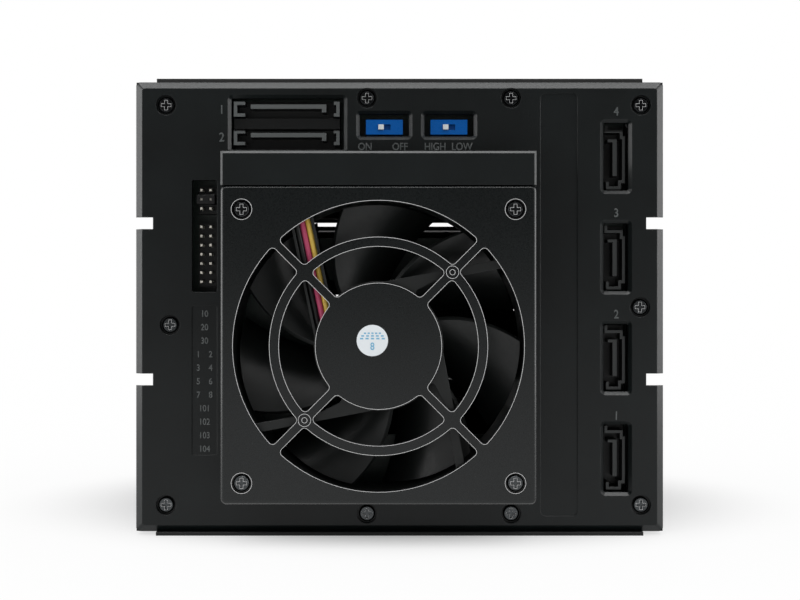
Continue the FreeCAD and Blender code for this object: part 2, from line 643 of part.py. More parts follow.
def rear_panel():
    """The rear panel and the tower that holds the fan, moulded as one piece."""
    body = new_body("RearPanel")
    sketch = sketch_at(body, "XZ", "rear_face", "panel_outline")
    rectangle(sketch, about("0", "body_width / 2"), ("frame_low", "frame_high"))
    plate = pad(body, sketch, "panel", name="plate")
    rear = number("rear_face")
    rim = dress(body, "Chamfer", plate, "panel_rim",
                lambda edge: lies_at(edge, "Y", rear), "rim")
    corner_reach = number("panel_rim") + TINY
    dress(body, "Fillet", rim, "panel_corner",
          lambda edge: max(edge.BoundBox.XLength, edge.BoundBox.ZLength) < corner_reach,
          "corners")

    sketch = sketch_at(body, "XZ", "rear_face", "tower_outline")
    tower = (("tower_left", "tower_right"), ("tower_low", "tower_high"))
    rounded(sketch, *tower, "tower_corner")
    rectangle(sketch, about("fan_x", "tower_inner"), about("fan_z", "tower_inner"))
    duct = ("fan_z + tower_inner + tower_wall", "tower_high - tower_wall")
    rectangle(sketch, ("tower_left + tower_wall", "tower_right - tower_wall"), duct)
    pad(body, sketch, "tower_depth - grille", -1, "tower_walls")
    sketch = sketch_at(body, "XZ", "fan_rear", "strip_outline")
    rectangle(sketch, ("tower_left", "tower_right"), ("seam + seam_gap", "tower_high"))
    strip = pad(body, sketch, "grille", -1, "tower_strip")
    face = number("cover_face")
    over_seam = number("seam + seam_gap") + TINY
    dress(body, "Chamfer", strip, "seam_chamfer",
          lambda edge: lies_at(edge, "Y", face) and edge.BoundBox.ZMax > over_seam,
          "strip_edges")

    sketch = sketch_at(body, "XZ", "rear_face", "fan_seat")
    rectangle(sketch, about("fan_x", "tower_inner"), about("fan_z", "tower_inner"))
    pocket(body, sketch, "fan_rear + fan_depth - rear_face", name="fan_seat_cut")
    sketch = sketch_at(body, "XZ", "rear_face", "through_holes")
    disc(sketch, "fan_x", "fan_z", "bore_radius + 0.7")
    for x, z in fan_corners():
        disc(sketch, f"fan_x + {x}", f"fan_z + {z}", "long_thread")
    for x, z in REAR_SCREWS:
        disc(sketch, x, z, "pan_thread + hole_fit")
    rounded(sketch, about("plug_at", "wire_slot_width / 2"),
            about("plug_height_at", "wire_slot_height / 2"), "window_round")
    for side in SIDES.values():
        for height in GROOVES:
            rectangle(sketch, sided(side, "body_width / 2 - groove_depth",
                                    "body_width / 2 + 1"),
                      about(height, "groove_height / 2"))
    pocket(body, sketch, "panel", name="holes")

    sketch = sketch_at(body, "XZ", "rear_face", "port_windows")
    rounded(sketch, ("power_left", "power_right"), ("power_low", "power_high"),
            "window_round")
    for middle in ("led_switch_x", "fan_switch_x"):
        rounded(sketch, about(middle, "switch_window / 2"), ("switch_low", "switch_high"),
                "window_round")
    rounded(sketch, ("pin_left", "pin_right"), ("pin_low", "pin_high"), "window_round")
    for bay in BAYS:
        rounded(sketch, about("data_x", "data_width / 2"),
                about(f"{bay_height(bay)} - data_drop", "data_height / 2"), "window_round")
    windows = pocket(body, sketch, "panel", name="windows")
    dress(body, "Chamfer", windows, "window_bevel", bevelled_window_edge, "window_bevels")

    sketch = sketch_at(body, "XZ", "rear_face", "strip_recess")
    rounded(sketch, ("strip_left", "strip_right"), ("strip_low", "strip_high"),
            "strip_corner")
    pocket(body, sketch, "strip_recess", name="strip_cut")
    sketch = sketch_at(body, "XZ", "rear_face", "label_recess")
    rounded(sketch, ("pin_left", "pin_right"), ("label_low", "label_high"), "window_round")
    pocket(body, sketch, "label_recess", name="label_cut")
    sketch = sketch_at(body, "XZ", "rear_face", "screw_recesses")
    for x, z in REAR_SCREWS:
        disc(sketch, x, z, "recess_radius")
    pocket(body, sketch, "screw_recess", name="screw_recesses_cut")

    sketch = sketch_at(body, "XZ", "fan_rear", "wire_notch")
    rectangle(sketch, about(CHANNEL_EXIT, "channel_width / 2 + fit"),
              ("fan_z + tower_inner - 1", "fan_z + tower_inner + tower_wall + 1"))
    pocket(body, sketch, "wire_notch", name="wire_notch_cut")
    return node("rear_panel", body)


def bevelled_window_edge(edge):
    """Whether an edge is a data window's rim or a side of a window in the top row."""
    if not lies_at(edge, "Y", number("rear_face")):
        return False
    x = (edge.BoundBox.XMin + edge.BoundBox.XMax) / 2
    z = (edge.BoundBox.ZMin + edge.BoundBox.ZMax) / 2
    on_data = abs(x - number("data_x")) < number("data_width / 2") + TINY
    row_end = number("fan_switch_x + switch_window / 2") + TINY
    in_row = number("power_left") - TINY < x < row_end and z > number("switch_low")
    return on_data or (in_row and runs_along(edge, "Z"))


# Where the fan's wire channel crosses the tower's top wall
CHANNEL_EXIT = "fan_x - channel_foot - (fan_half + 1) * tan(channel_lean * 1deg)"


def front_bezel():
    """The frame round the trays, with side lips and four lugs for the side frames."""
    body = new_body("FrontBezel")
    half = "body_width / 2 + bezel_lip"
    sketch = sketch_at(body, "XZ", "bezel_back", "bezel_outline")
    rounded(sketch, about("0", half), ("0", "body_height"), "bezel_corner")
    rectangle(sketch, about("0", "front_half + fit"),
              ("tray - front_rise - fit", "tray + 3 * bay_pitch + front_rise + fit"))
    ring = pad(body, sketch, "bezel_depth", name="ring")
    front = number("bezel_front")
    dress(body, "Chamfer", ring, "bezel_chamfer",
          lambda edge: lies_at(edge, "Y", front), "front_edges")
    sketch = sketch_at(body, "XZ", "bezel_back", "lips")
    for side in SIDES.values():
        rectangle(sketch, sided(side, "body_width / 2", half),
                  ("bezel_corner", "body_height - bezel_corner"))
    pad(body, sketch, "lip_wrap", -1, "lip_pads")
    sketch = sketch_at(body, "XZ", "bezel_back", "lugs")
    for side in SIDES.values():
        for height in LUG_HEIGHTS:
            rectangle(sketch, sided(side, "wall_inner - lug_thick", "wall_inner"),
                      about(height, "lug_half"))
    pad(body, sketch, "lug_reach", -1, "lug_pads")
    sketch = sketch_at(body, "YZ", "wall_inner", "lug_holes")
    for height in LUG_HEIGHTS:
        disc(sketch, LUG_Y, height, "lug_thread")
    pocket(body, sketch, "2 * wall_inner", -1, "lug_hole_cut")
    return node("front_bezel", body)


def housing_screws():
    """Every fastener of the housing, one node for each kind."""
    pan = screw("pan")
    rear = [copy_of(pan, "rear_screw", x, "rear_face + screw_recess - pan_height", z, TO_REAR)
            for x, z in REAR_SCREWS]
    node("rear_panel_screws", group("RearPanelScrews", rear))

    sunk = countersunk_screw("sunk")
    flat = []
    for height, up in (("body_height", 1), ("0", -1)):
        for side in SIDES.values():
            for y in COVER_SCREW_PLACES:
                flat.append(copy_of(sunk, "cover_screw", f"{side} * ({COVER_SCREW_X})", y,
                                    height, Rotation(Vector(0, 0, 1), Vector(0, 0, up))))
    node("cover_screws", group("CoverScrews", flat))

    lug = countersunk_screw("lug")
    fixed = []
    for side in SIDES.values():
        for height in LUG_HEIGHTS:
            turn = Rotation(Vector(0, 0, 1), Vector(side, 0, 0))
            fixed.append(copy_of(lug, "bezel_screw", f"{side} * body_width / 2", LUG_Y,
                                 height, turn))
    node("bezel_screws", group("BezelScrews", fixed))

    small = screw("small")
    held = []
    for side in SIDES.values():
        for height in BOARD_SCREW_HEIGHTS:
            held.append(copy_of(small, "board_screw", f"{side} * ({BOARD_SCREW_X})",
                                "board_front + small_height", height, TO_FRONT))
    node("board_screws", group("BoardScrews", held))


# ---- Fan -------------------------------------------------------------------------------

def on_fan(body, y="fan_rear"):
    """Put a body modelled round the fan's own axis in its place in the cage."""
    return place(body, "fan_x", y, "fan_z")


def fan_corners():
    return [(f"{x} * fan_hole_at", f"{z} * fan_hole_at") for x in (-1, 1) for z in (-1, 1)]


def sector(sketch, inner, outer, half_arm):
    """A window between two arms that lie at 45 degrees either side of +X."""
    def arm_point(radius, side):
        reach = f"sqrt({radius} * {radius} - {half_arm} * {half_arm})"
        return (f"({reach} + {half_arm}) * sqrt(0.5)",
                f"{side} * ({reach} - {half_arm}) * sqrt(0.5)")

    corners = [arm_point(inner, 1), arm_point(inner, -1), arm_point(outer, -1),
               arm_point(outer, 1)]
    inner_low, outer_low = [Vector(number(x), number(y), 0) for x, y in corners[1:3]]
    inner_high, outer_high = [Vector(point.x, -point.y, 0) for point in (inner_low, outer_low)]
    sketch.addGeometry(Part.Arc(inner_low, Vector(number(inner), 0, 0), inner_high), False)
    sketch.addGeometry(Part.LineSegment(inner_high, outer_high), False)
    sketch.addGeometry(Part.Arc(outer_low, Vector(number(outer), 0, 0), outer_high), False)
    sketch.addGeometry(Part.LineSegment(outer_low, inner_low), False)
    for pair in ((0, 1, 3, 2), (0, 2, 1, 1), (2, 1, 3, 1), (2, 2, 1, 2)):
        sketch.addConstraint(Sketcher.Constraint("Coincident", *pair))
    hold_point(sketch, 1, 1, *corners[0])
    hold_point(sketch, 3, 2, *corners[1])
    hold_point(sketch, 3, 1, *corners[2])
    hold_point(sketch, 1, 2, *corners[3])
    hold(sketch, "Radius", 0, inner)
    hold(sketch, "Radius", 2, outer)


def fan_cover():
    """The flush grille plate over the fan, with eight windows and four screw holes."""
    body = new_body("FanCover")
    sketch = sketch_at(body, "XZ", "0", "cover_outline")
    rounded(sketch, ("tower_left - fan_x", "tower_right - fan_x"),
            ("tower_low - fan_z", "seam - fan_z"), "tower_corner")
    plate = pad(body, sketch, "grille", name="plate")
    under_seam = number("seam - fan_z - tower_corner") - TINY
    dress(body, "Fillet", plate, "grille_edge",
          lambda edge: lies_at(edge, "Y", 0) and edge.BoundBox.ZMin < under_seam, "edges")
    for name, inner, outer in (("inner", "hub_disc", "ring_inner"),
                               ("outer", "ring_outer", "grille_radius")):
        sketch = sketch_at(body, "XZ", "0", name + "_window")
        sector(sketch, inner, outer, "grille_arm / 2")
        window = pocket(body, sketch, "grille", name=name + "_cut")
        last = pattern(body, "PolarPattern", window, 4, 360, "Y", name + "_windows")
    corner_edges = (lambda edge: runs_along(edge, "Y")
                    and math.hypot(edge.BoundBox.XMin, edge.BoundBox.ZMin)
                    < number("grille_radius") + TINY)
    dress(body, "Fillet", last, "window_corner", corner_edges, "window_corners")
    sketch = sketch_at(body, "XZ", "0", "screw_recesses")
    for x, z in fan_corners():
        disc(sketch, x, z, "grille_recess")
    pocket(body, sketch, "long_height", name="screw_recess_cut")
    sketch = sketch_at(body, "XZ", "0", "screw_holes")
    for x, z in fan_corners():
        disc(sketch, x, z, "long_thread + hole_fit")
    pocket(body, sketch, "grille", name="screw_hole_cut")
    ring = "ring_middle * cos(45deg)"
    sketch = sketch_at(body, "XZ", "0", "gate_marks")
    disc(sketch, ring, ring, "gate_radius")
    disc(sketch, f"-({ring})", f"-({ring})", "gate_radius")
    pad(body, sketch, "gate_proud", -1, "gate_bosses")
    sketch = sketch_at(body, "XZ", "-gate_proud", "gate_dimples")
    disc(sketch, ring, ring, "gate_dimple")
    disc(sketch, f"-({ring})", f"-({ring})", "gate_dimple")
    pocket(body, sketch, "gate_dimple_deep", name="gate_dimple_cut")
    on_fan(body, "cover_face")
    return node("fan_cover", body)


# How far up the wire channel's line the wires leave the frame
CHANNEL_END = "fan_half + 4"


def along_channel(distance, across="0"):
    """A point on the wire channel's middle line, by its distance up from the foot."""
    return (f"-channel_foot - ({distance}) * sin(channel_lean * 1deg)"
            f" + ({across}) * cos(channel_lean * 1deg)",
            f"({distance}) * cos(channel_lean * 1deg)"
            f" + ({across}) * sin(channel_lean * 1deg)")


def strip_along_channel(sketch, low, high, half):
    polygon(sketch, [along_channel(low, f"-({half})"), along_channel(low, half),
                     along_channel(high, half), along_channel(high, f"-({half})")])


def fan_frame():
    """The square fan frame with its motor disc, struts, wire channel and bearing tube."""
    body = new_body("FanFrame")
    sketch = sketch_at(body, "XZ", "0", "frame_outline")
    rounded(sketch, about("0", "fan_half"), about("0", "fan_half"), "fan_corner")
    disc(sketch, "0", "0", "bore_radius")
    pad(body, sketch, "fan_depth", name="frame")
    sketch = sketch_at(body, "XZ", "fan_flange", "barrel_outline")
    rectangle(sketch, about("0", "fan_half + 1"), about("0", "fan_half + 1"))
    disc(sketch, "0", "0", "fan_half - fan_waist")
    pocket(body, sketch, "fan_depth - 2 * fan_flange", name="between_flanges")
    sketch = sketch_at(body, "XZ", "0", "motor_disc")
    disc(sketch, "0", "0", "motor_disc")
    pad(body, sketch, "motor_floor", name="motor_floor")

    bore_end = "sqrt(bore_radius * bore_radius - motor_disc * motor_disc) + 1"
    rise = "tan(strut_rise * 1deg)"
    web_end = "motor_disc + 3"
    sketch = sketch_at(body, "XZ", "0", "strut")
    polygon(sketch, [("-2", "motor_disc - 3"), ("motor_disc - 8", "motor_disc - 7.5"),
                     ("motor_disc + 0.6", "motor_disc - 0.9"),
                     (web_end, f"motor_disc - strut_width + ({web_end}) * {rise}"),
                     (bore_end, f"motor_disc - strut_width + ({bore_end}) * {rise}"),
                     (bore_end, f"motor_disc + ({bore_end}) * {rise}"),
                     ("1.5", "motor_disc - 0.1")])
    strut = pad(body, sketch, "strut_depth", name="strut_pad")
    pattern(body, "PolarPattern", strut, 3, 180, "Y", "struts")
    sketch = sketch_at(body, "XZ", "0", "web_slot")
    capsule(sketch, ("motor_disc - 6.1", "motor_disc - 3.1"),
            ("motor_disc - 1.7", "motor_disc - 0.9"), "web_slot")
    slot = pocket(body, sketch, "strut_depth", name="web_slot_cut")
    pattern(body, "PolarPattern", slot, 3, 180, "Y", "web_slots")

    sketch = sketch_at(body, "XZ", "0", "channel")
    strip_along_channel(sketch, "-1", "fan_half", "channel_width / 2")
    pad(body, sketch, "strut_depth", name="channel_pad")
    sketch = sketch_at(body, "XZ", "0", "channel_hollow")
    strip_along_channel(sketch, "-2", CHANNEL_END, "channel_width / 2 - channel_wall")
    pocket(body, sketch, "strut_depth - channel_floor", name="channel_cut")
    sketch = sketch_at(body, "XZ", "0", "screw_holes")
    for x, z in fan_corners():
        disc(sketch, x, z, "fan_hole / 2")
    pocket(body, sketch, "fan_depth", name="screw_hole_cut")
    sketch = sketch_at(body, "XZ", "0", "bearing_tube")
    disc(sketch, "0", "0", "bearing_outer")
    pad(body, sketch, "bearing_end", name="bearing_pad")
    sketch = sketch_at(body, "XZ", "motor_floor", "bearing_bore")
    disc(sketch, "0", "0", "bearing_bore")
    pocket(body, sketch, "bearing_end", name="bearing_cut")
    return node("fan_frame", on_fan(body))


def blade_section(body, reach):
    """One section of a blade, on a plane that stands across the blade's length."""
    reach = f"({reach})"
    lead = f"((blade_lead - blade_rake * {reach} + blade_rake * motor_disc) * 1deg)"
    trail = f"((blade_lead - blade_span - blade_rake * {reach} + blade_rake * motor_disc) * 1deg)"
    start = ("blade_start", f"{reach} * tan{lead}")
    end = (f"blade_end - blade_taper * {reach}", f"{reach} * tan{trail}")
    along = (f"({end[0]} - ({start[0]}))", f"({end[1]} - ({start[1]}))")
    chord = f"sqrt({along[0]} * {along[0]} + {along[1]} * {along[1]})"
    shift = (f"blade_thick * ({along[1]}) / {chord}", f"-blade_thick * ({along[0]}) / {chord}")
    back_start = (f"{start[0]} - ({shift[0]})", f"{start[1]} - ({shift[1]})")
    back_end = (f"{end[0]} - ({shift[0]})", f"{end[1]} - ({shift[1]})")
    bend = f"({chord} * {chord} / 4 + blade_camber * blade_camber) / (2 * blade_camber)"

    sketch = sketch_at(body, "YZ", reach, "blade_section")
    corners = [Vector(number(y), number(z), 0) for y, z in (start, end, back_end, back_start)]
    out = (corners[0] - corners[3]).normalize() * number("blade_camber")
    face_middle = (corners[0] + corners[1]) / 2 + out
    back_middle = (corners[3] + corners[2]) / 2 + out
    sketch.addGeometry(Part.Arc(corners[0], face_middle, corners[1]), False)
    sketch.addGeometry(Part.LineSegment(corners[1], corners[2]), False)
    sketch.addGeometry(Part.Arc(corners[3], back_middle, corners[2]), False)
    sketch.addGeometry(Part.LineSegment(corners[3], corners[0]), False)
    hold_point(sketch, 1, 1, *end)
    hold_point(sketch, 1, 2, *back_end)
    hold_point(sketch, 3, 1, *back_start)
    hold_point(sketch, 3, 2, *start)
    for arc in (0, 2):
        for arc_end in (1, 2):
            at = sketch.getPoint(arc, arc_end)
            line, line_end = min(((1, 1), (1, 2), (3, 1), (3, 2)),
                                 key=lambda spot: at.distanceToPoint(sketch.getPoint(*spot)))
            sketch.addConstraint(
                Sketcher.Constraint("Coincident", arc, arc_end, line, line_end))
        hold(sketch, "Radius", arc, bend)
    return sketch


def fan_rotor():
    """The impeller: a cup over the motor with seven swept and twisted blades."""
    body = new_body("FanRotor")
    sketch = sketch_at(body, "XZ", "hub_start", "hub_outline")
    disc(sketch, "0", "0", "hub_radius")
    pad(body, sketch, "hub_end - hub_start", name="hub")
    reaches = [f"hub_radius + {share} * (tip_radius + 1 - hub_radius)"
               for share in (-0.35, 0.1, 0.55, 1)]
    sections = [blade_section(body, reach) for reach in reaches]
    doc.recompute()
    blade = body.newObject("PartDesign::AdditiveLoft", "blade")
    blade.Profile = sections[0]
    blade.Sections = sections[1:]
    blades = pattern(body, "PolarPattern", blade, 7, 360, "Y", "blades")
    blades.Refine = False
    sketch = sketch_at(body, "XZ", "0", "tip_trim")
    disc(sketch, "0", "0", "tip_radius + 12")
    disc(sketch, "0", "0", "tip_radius")
    pocket(body, sketch, "fan_depth + 5", name="tip_trim_cut")
    sketch = sketch_at(body, "XZ", "0", "motor_space")
    disc(sketch, "0", "0", "hub_radius - hub_wall")
    disc(sketch, "0", "0", "shaft_radius + shaft_boss - hole_fit")
    pocket(body, sketch, "hub_end - hub_wall", name="motor_space_cut")
    sketch = sketch_at(body, "XZ", "0", "boss_trim")
    disc(sketch, "0", "0", "shaft_radius + shaft_boss")
    pocket(body, sketch, "bearing_end + 2 * fit", name="boss_trim_cut")
    sketch = sketch_at(body, "XZ", "0", "shaft_bore")
    disc(sketch, "0", "0", "shaft_radius")
    pocket(body, sketch, "hub_end - hub_skin", name="shaft_bore_cut")
    body.Placement.Rotation = Rotation(Vector(0, 1, 0), number("blade_clock"))
    bind(body, "Placement.Rotation.Angle", "blade_clock * 1deg")
    return node("fan_rotor", on_fan(body))


def fan_motor():
    """The wound core on the bearing tube, and the shaft that turns in it."""
    body = new_body("FanStator")
    sketch = sketch_at(body, "XZ", "motor_floor + core_start", "core_outline")
    disc(sketch, "0", "0", "hub_radius - hub_wall - core_gap")
    disc(sketch, "0", "0", "bearing_outer")
    pad(body, sketch, "core", name="core")
    sketch = sketch_at(body, "XZ", "motor_floor + core_start", "winding_slot")
    rectangle(sketch, ("winding_foot", "hub_radius"), about("0", "winding_slot / 2"))
    slot = pocket(body, sketch, "core", name="winding_slot_cut")
    pattern(body, "PolarPattern", slot, 4, 360, "Y", "winding_slots")
    node("fan_stator", on_fan(body))
    shaft = rod("Shaft", "shaft_radius", "hub_end - hub_skin - motor_floor - fit",
                ("fan_x", "fan_rear + motor_floor + fit", "fan_z"), (0, 1, 0))
    node("rotor_shaft", shaft)


def tube(name, points, radius):
    """A round cord along straight runs joined by the largest arcs that they allow."""
    route = [Vector(*(number(text) for text in point)) for point in points]
    edges = []
    start = route[0]
    length = 0
    for before, corner, after in zip(route, route[1:], route[2:]):
        arriving = (corner - before).normalize()
        leaving = (after - corner).normalize()
        half_turn = arriving.getAngle(leaving) / 2
        cut_back = 0.45 * min(before.distanceToPoint(corner), corner.distanceToPoint(after))
        bend = cut_back / math.tan(half_turn)
        arc_start, arc_end = corner - arriving * cut_back, corner + leaving * cut_back
        towards = (leaving - arriving).normalize()
        top = corner + towards * (bend / math.cos(half_turn) - bend)
        edges.append(Part.LineSegment(start, arc_start).toShape())
        edges.append(Part.Arc(arc_start, top, arc_end).toShape())
        start = arc_end
    edges.append(Part.LineSegment(start, route[-1]).toShape())
    path = Part.Wire(edges)
    direction = (route[1] - route[0]).normalize()
    ring = Part.Wire(Part.Circle(route[0], direction, number(radius)).toShape())
    solid = path.makePipeShell([ring], True, True)
    length = path.Length
    expected = math.pi * number(radius) ** 2 * length
    if abs(solid.Volume - expected) > 0.01 * expected:
        raise ValueError(f"{name}: the tube's volume is wrong")
    cord = doc.addObject("Part::Feature", name)
    cord.Shape = solid
    return cord


def fan_wiring():
    """Three wires from the motor, up the frame's channel and in to the board's plug."""
    plug_rear = "board_rear - plug_depth"
    for offset, colour in enumerate(("black", "red", "yellow"), start=-1):
        across = f"{offset} * wire_pitch"
        foot = along_channel("-1.5", across)
        way_out = along_channel(CHANNEL_END, across)
        depth = "fan_rear + wire_size / 2 + wire_rise"
        points = [
            (f"fan_x + {foot[0]}", depth, f"fan_z + {foot[1]}"),
            (f"fan_x + {way_out[0]}", depth, f"fan_z + {way_out[1]}"),
            (f"plug_at + 2.2 + 1.2 * {across}", "fan_rear + 5",
             f"plug_height_at + 1 + 0.35 * {across}"),
            (f"plug_at + 1.5 * {across}", "rear_face - 1", "plug_height_at + 0.3"),
            (f"plug_at + 1.5 * {across}", plug_rear, "plug_height_at"),
        ]
        node("fan_wire_" + colour, tube("FanWire" + colour, points, "wire_size / 2"))
    under = "plug_height_at - plug_height / 2"
    shell = box("plug_shell", about("plug_at", "plug_width / 2"), (plug_rear, "board_rear"),
                about("plug_height_at", "plug_height / 2"))
    key = box("plug_key", about("plug_at", "plug_key_half"),
              (plug_rear + " + plug_key_back", "board_rear"), (under + " - plug_key", under))
    node("fan_plug", fuse("FanPlug", [shell, key]))


def fan_cover_screws():
    long = screw("long", "fan_depth + grille")
    placed = [copy_of(long, "fan_cover_screw", f"fan_x + {x}", "cover_face", f"fan_z + {z}",
                      TO_REAR) for x, z in fan_corners()]
    node("fan_cover_screws", group("FanCoverScrews", placed))


# ---- Backplane -------------------------------------------------------------------------

def backplane_board():
    body = new_body("BackplaneBoard")
    sketch = sketch_at(body, "XZ", "board_rear", "board_outline")
    rectangle(sketch, about("0", "board_half"), ("board_low", "board_high"))
    pad(body, sketch, "board", name="board")
    sketch = sketch_at(body, "XZ", "board_rear", "vents")
    for bay in BAYS[:-1]:
        rounded(sketch, ("vent_left", "vent_right"),
                about(f"{bay_height(bay)} + bay_pitch / 2 - vent_drop",
                      "(bay_pitch - vent_bar) / 2"), "vent_corner")
    pocket(body, sketch, "board", name="vent_cut")
    sketch = sketch_at(body, "XZ", "board_rear", "screw_holes")
    for side in SIDES.values():
        for height in BOARD_SCREW_HEIGHTS:
            disc(sketch, f"{side} * ({BOARD_SCREW_X})", height, "small_thread + thread_fit")
    pocket(body, sketch, "board", name="screw_hole_cut")
    return node("backplane_board", body)


def drive_sockets():
    """Four 22-way sockets on the tray side of the board, each a shell with two blades."""
    height = "tray - socket_drop"
    shell = box("socket_shell", about("socket_x", "socket_width / 2"),
                ("board_front", "board_front + socket_depth"),
                about(height, "socket_height / 2"))
    hollow = box("socket_hollow", about("socket_x", "socket_width / 2 - socket_wall"),
                 ("board_front + socket_wall", "board_front + socket_depth + 1"),
                 about(height, "socket_height / 2 - socket_wall"))
    inside = ("board_front + socket_floor", "board_front + socket_depth - socket_floor")
    up = about(f"{height} + tongue_rise", "tongue / 2")
    start = "socket_x - tongue_left"
    power = box("power_tongue", (start, f"{start} + power_tongue"), inside, up)
    start = f"{start} + power_tongue + tongue_step"
    data = box("data_tongue", (start, f"{start} + data_tongue"), inside, up)
    first = fuse("Socket", [cut("socket_body", shell, [hollow]), power, data])
    copies = [copy_of(first, "drive_socket", z=f"{bay - 1} * bay_pitch") for bay in BAYS]
    node("drive_sockets", group("DriveSockets", copies))


def walls(name, path, half, depth):
    """Walls along right-angled runs across X and Z, half a thickness to each side."""
    pieces = []
    for start, end in zip(path, path[1:]):
        (left, right), (low, high) = (sorted(pair, key=number) for pair in zip(start, end))
        pieces.append(box(name, (f"{left} - {half}", f"{right} + {half}"), depth,
                          (f"{low} - {half}", f"{high} + {half}")))
    return pieces


def data_ports():
    """Four upright 7-way data headers behind the rear panel's narrow windows."""
    height = "tray - data_drop"
    face = "rear_face + data_face"
    floor = f"{face} + data_deep"
    path = [("-hook_top", "data_top + hook"), ("-hook_top", "data_top"),
            ("data_neck", "data_top"), ("data_neck", "data_shoulder"),
            ("data_side", "data_shoulder"), ("data_side", "-data_heel"),
            ("data_foot", "-data_heel"), ("data_foot", "-data_bottom"),
            ("-hook_bottom", "-data_bottom"), ("-hook_bottom", "hook - data_bottom")]
    path = [(f"data_x + ({x})", f"{height} + ({z})") for x, z in path]
    base = box("data_base", about("data_x", "data_half"), (floor, "board_rear"),
               about(height, "data_reach"))
    left = "data_x - data_blade_left"
    blade = box("data_blade", (left, f"{left} + blade_width"), (face, floor),
                about(f"{height} - 0.1", "data_tongue / 2"))
    top = f"{height} - 0.1 + data_tongue / 2"
    key = box("data_key", (f"{left} - data_key", left), (face, floor),
              (f"{top} - data_key_tall", top))
    shroud = walls("data_wall", path, "data_wall / 2", (face, "board_rear"))
    first = fuse("DataPort", [base, blade, key, *shroud])
    copies = [copy_of(first, "data_port", z=f"{bay - 1} * bay_pitch") for bay in BAYS]
    node("sata_ports", group("DataPorts", copies))


def power_ports():
    """Two 15-way power headers, one above the other on a shared base."""
    face = "rear_face + power_face"
    floor = f"{face} + power_deep"
    pieces = [
        box("power_base", ("power_left + bracket_left", "power_right - bracket_right"),
            (floor, "board_rear"), ("power_low + fit", "power_high - fit")),
        box("power_rib", ("power_left + bracket_left", "power_right - bracket_right"),
            ("rear_face + panel", "board_rear"),
            about("power_middle + power_pitch / 2", "(power_pitch - power_height - 0.8) / 2")),
    ]
    for middle in ("power_middle", "power_middle + power_pitch"):
        low, high = about(middle, "(power_height - bracket) / 2")
        for bar, arms in (("power_left + bracket_left + bracket / 2", "bracket_arm"),
                          ("power_right - bracket_right - bracket / 2", "-hook_arm")):
            path = [(f"{bar} + ({arms})", low), (bar, low), (bar, high),
                    (f"{bar} + ({arms})", high)]
            pieces += walls("bracket_wall", path, "bracket / 2", (face, "board_rear"))
        left = "power_left + power_blade_left"
        right = f"{left} + power_tongue"
        pieces.append(box("power_blade", (left, right), (face, floor),
                          (f"{middle} + 0.1", f"{middle} + 0.1 + blade_width")))
        pieces.append(box("power_key", (f"{right} - blade_width", right), (face, floor),
                          (f"{middle} + 0.1 - power_key", f"{middle} + 0.1")))
    node("power_ports", fuse("PowerPorts", pieces))


def slide_switch(name, middle):
    """A small slide switch: a square body with a slot, and the knob in the slot."""
    height = "(switch_low + switch_high) / 2 - switch_drop"
    face = "rear_face + switch_face"
    body = box(name + "_case", about(middle, "switch_half"), (face, "board_rear"),
               about(height, "switch_tall / 2"))
    slot = box(name + "_slot", about(middle, "knob_slot / 2"),
               (face + " - 1", face + " + knob_deep"), about(height, "knob_tall / 2"))
    node(name + "_switch_body", cut(name + "_switch", body, [slot]))
    left = f"{middle} - knob_slot / 2 + knob_fit"
    knob = box(name + "_knob", (left, f"{left} + knob_long"),
               (face + " - knob_proud", face + " + knob_deep - knob_fit"),
               about(height, "knob_tall / 2 - knob_fit"))
    node(name + "_switch_knob", knob)


def pin_row_height(row):
    return f"pin_first - {row} * pin_pitch"


def pin_header():
    """Two pin blocks with ten pairs of pins, and a jumper cap on the second pair."""
    middle = "(pin_left + pin_right) / 2 + pin_shift"
    spans = ((0, 2), (4, 10))
    base = ("board_rear - pin_block", "board_rear")
    blocks = []
    for first, last in spans:
        span = (f"{pin_row_height(last)} - pin_pitch / 2",
                f"{pin_row_height(first)} + pin_pitch / 2")
        blocks.append(box("pin_block", about(middle, "pin_pitch"), base, span))
    columns = [f"{middle} + {side} * pin_pitch / 2" for side in SIDES.values()]
    passages, pins = [], []
    for row in [row for first, last in spans for row in range(first, last + 1)]:
        for column in columns:
            across = about(column, "pin_size / 2")
            up = about(pin_row_height(row), "pin_size / 2")
            passages.append(box("pin_passage", across, base, up))
            pins.append(box("pin", across, ("rear_face + pin_face", "board_rear"), up))
    node("pin_header_blocks", cut("PinBlocks", group("pin_blocks", blocks), passages))
    node("header_pins", group("HeaderPins", pins))
    cap_reach = ("rear_face + cap_face", "rear_face + cap_face + cap_length")
    cap = box("cap", about(middle, "pin_pitch - cap_slack"), cap_reach,
              about(pin_row_height(1), "pin_pitch / 2 - cap_slack"))
    sleeves = [box("cap_sleeve", about(column, "(pin_size + cap_slack) / 2"), cap_reach,
                   about(pin_row_height(1), "(pin_size + cap_slack) / 2"))
               for column in columns]
    node("jumper_cap", cut("JumperCap", cap, sleeves))


# ---- Drive trays, modelled in the bottom bay -------------------------------------------

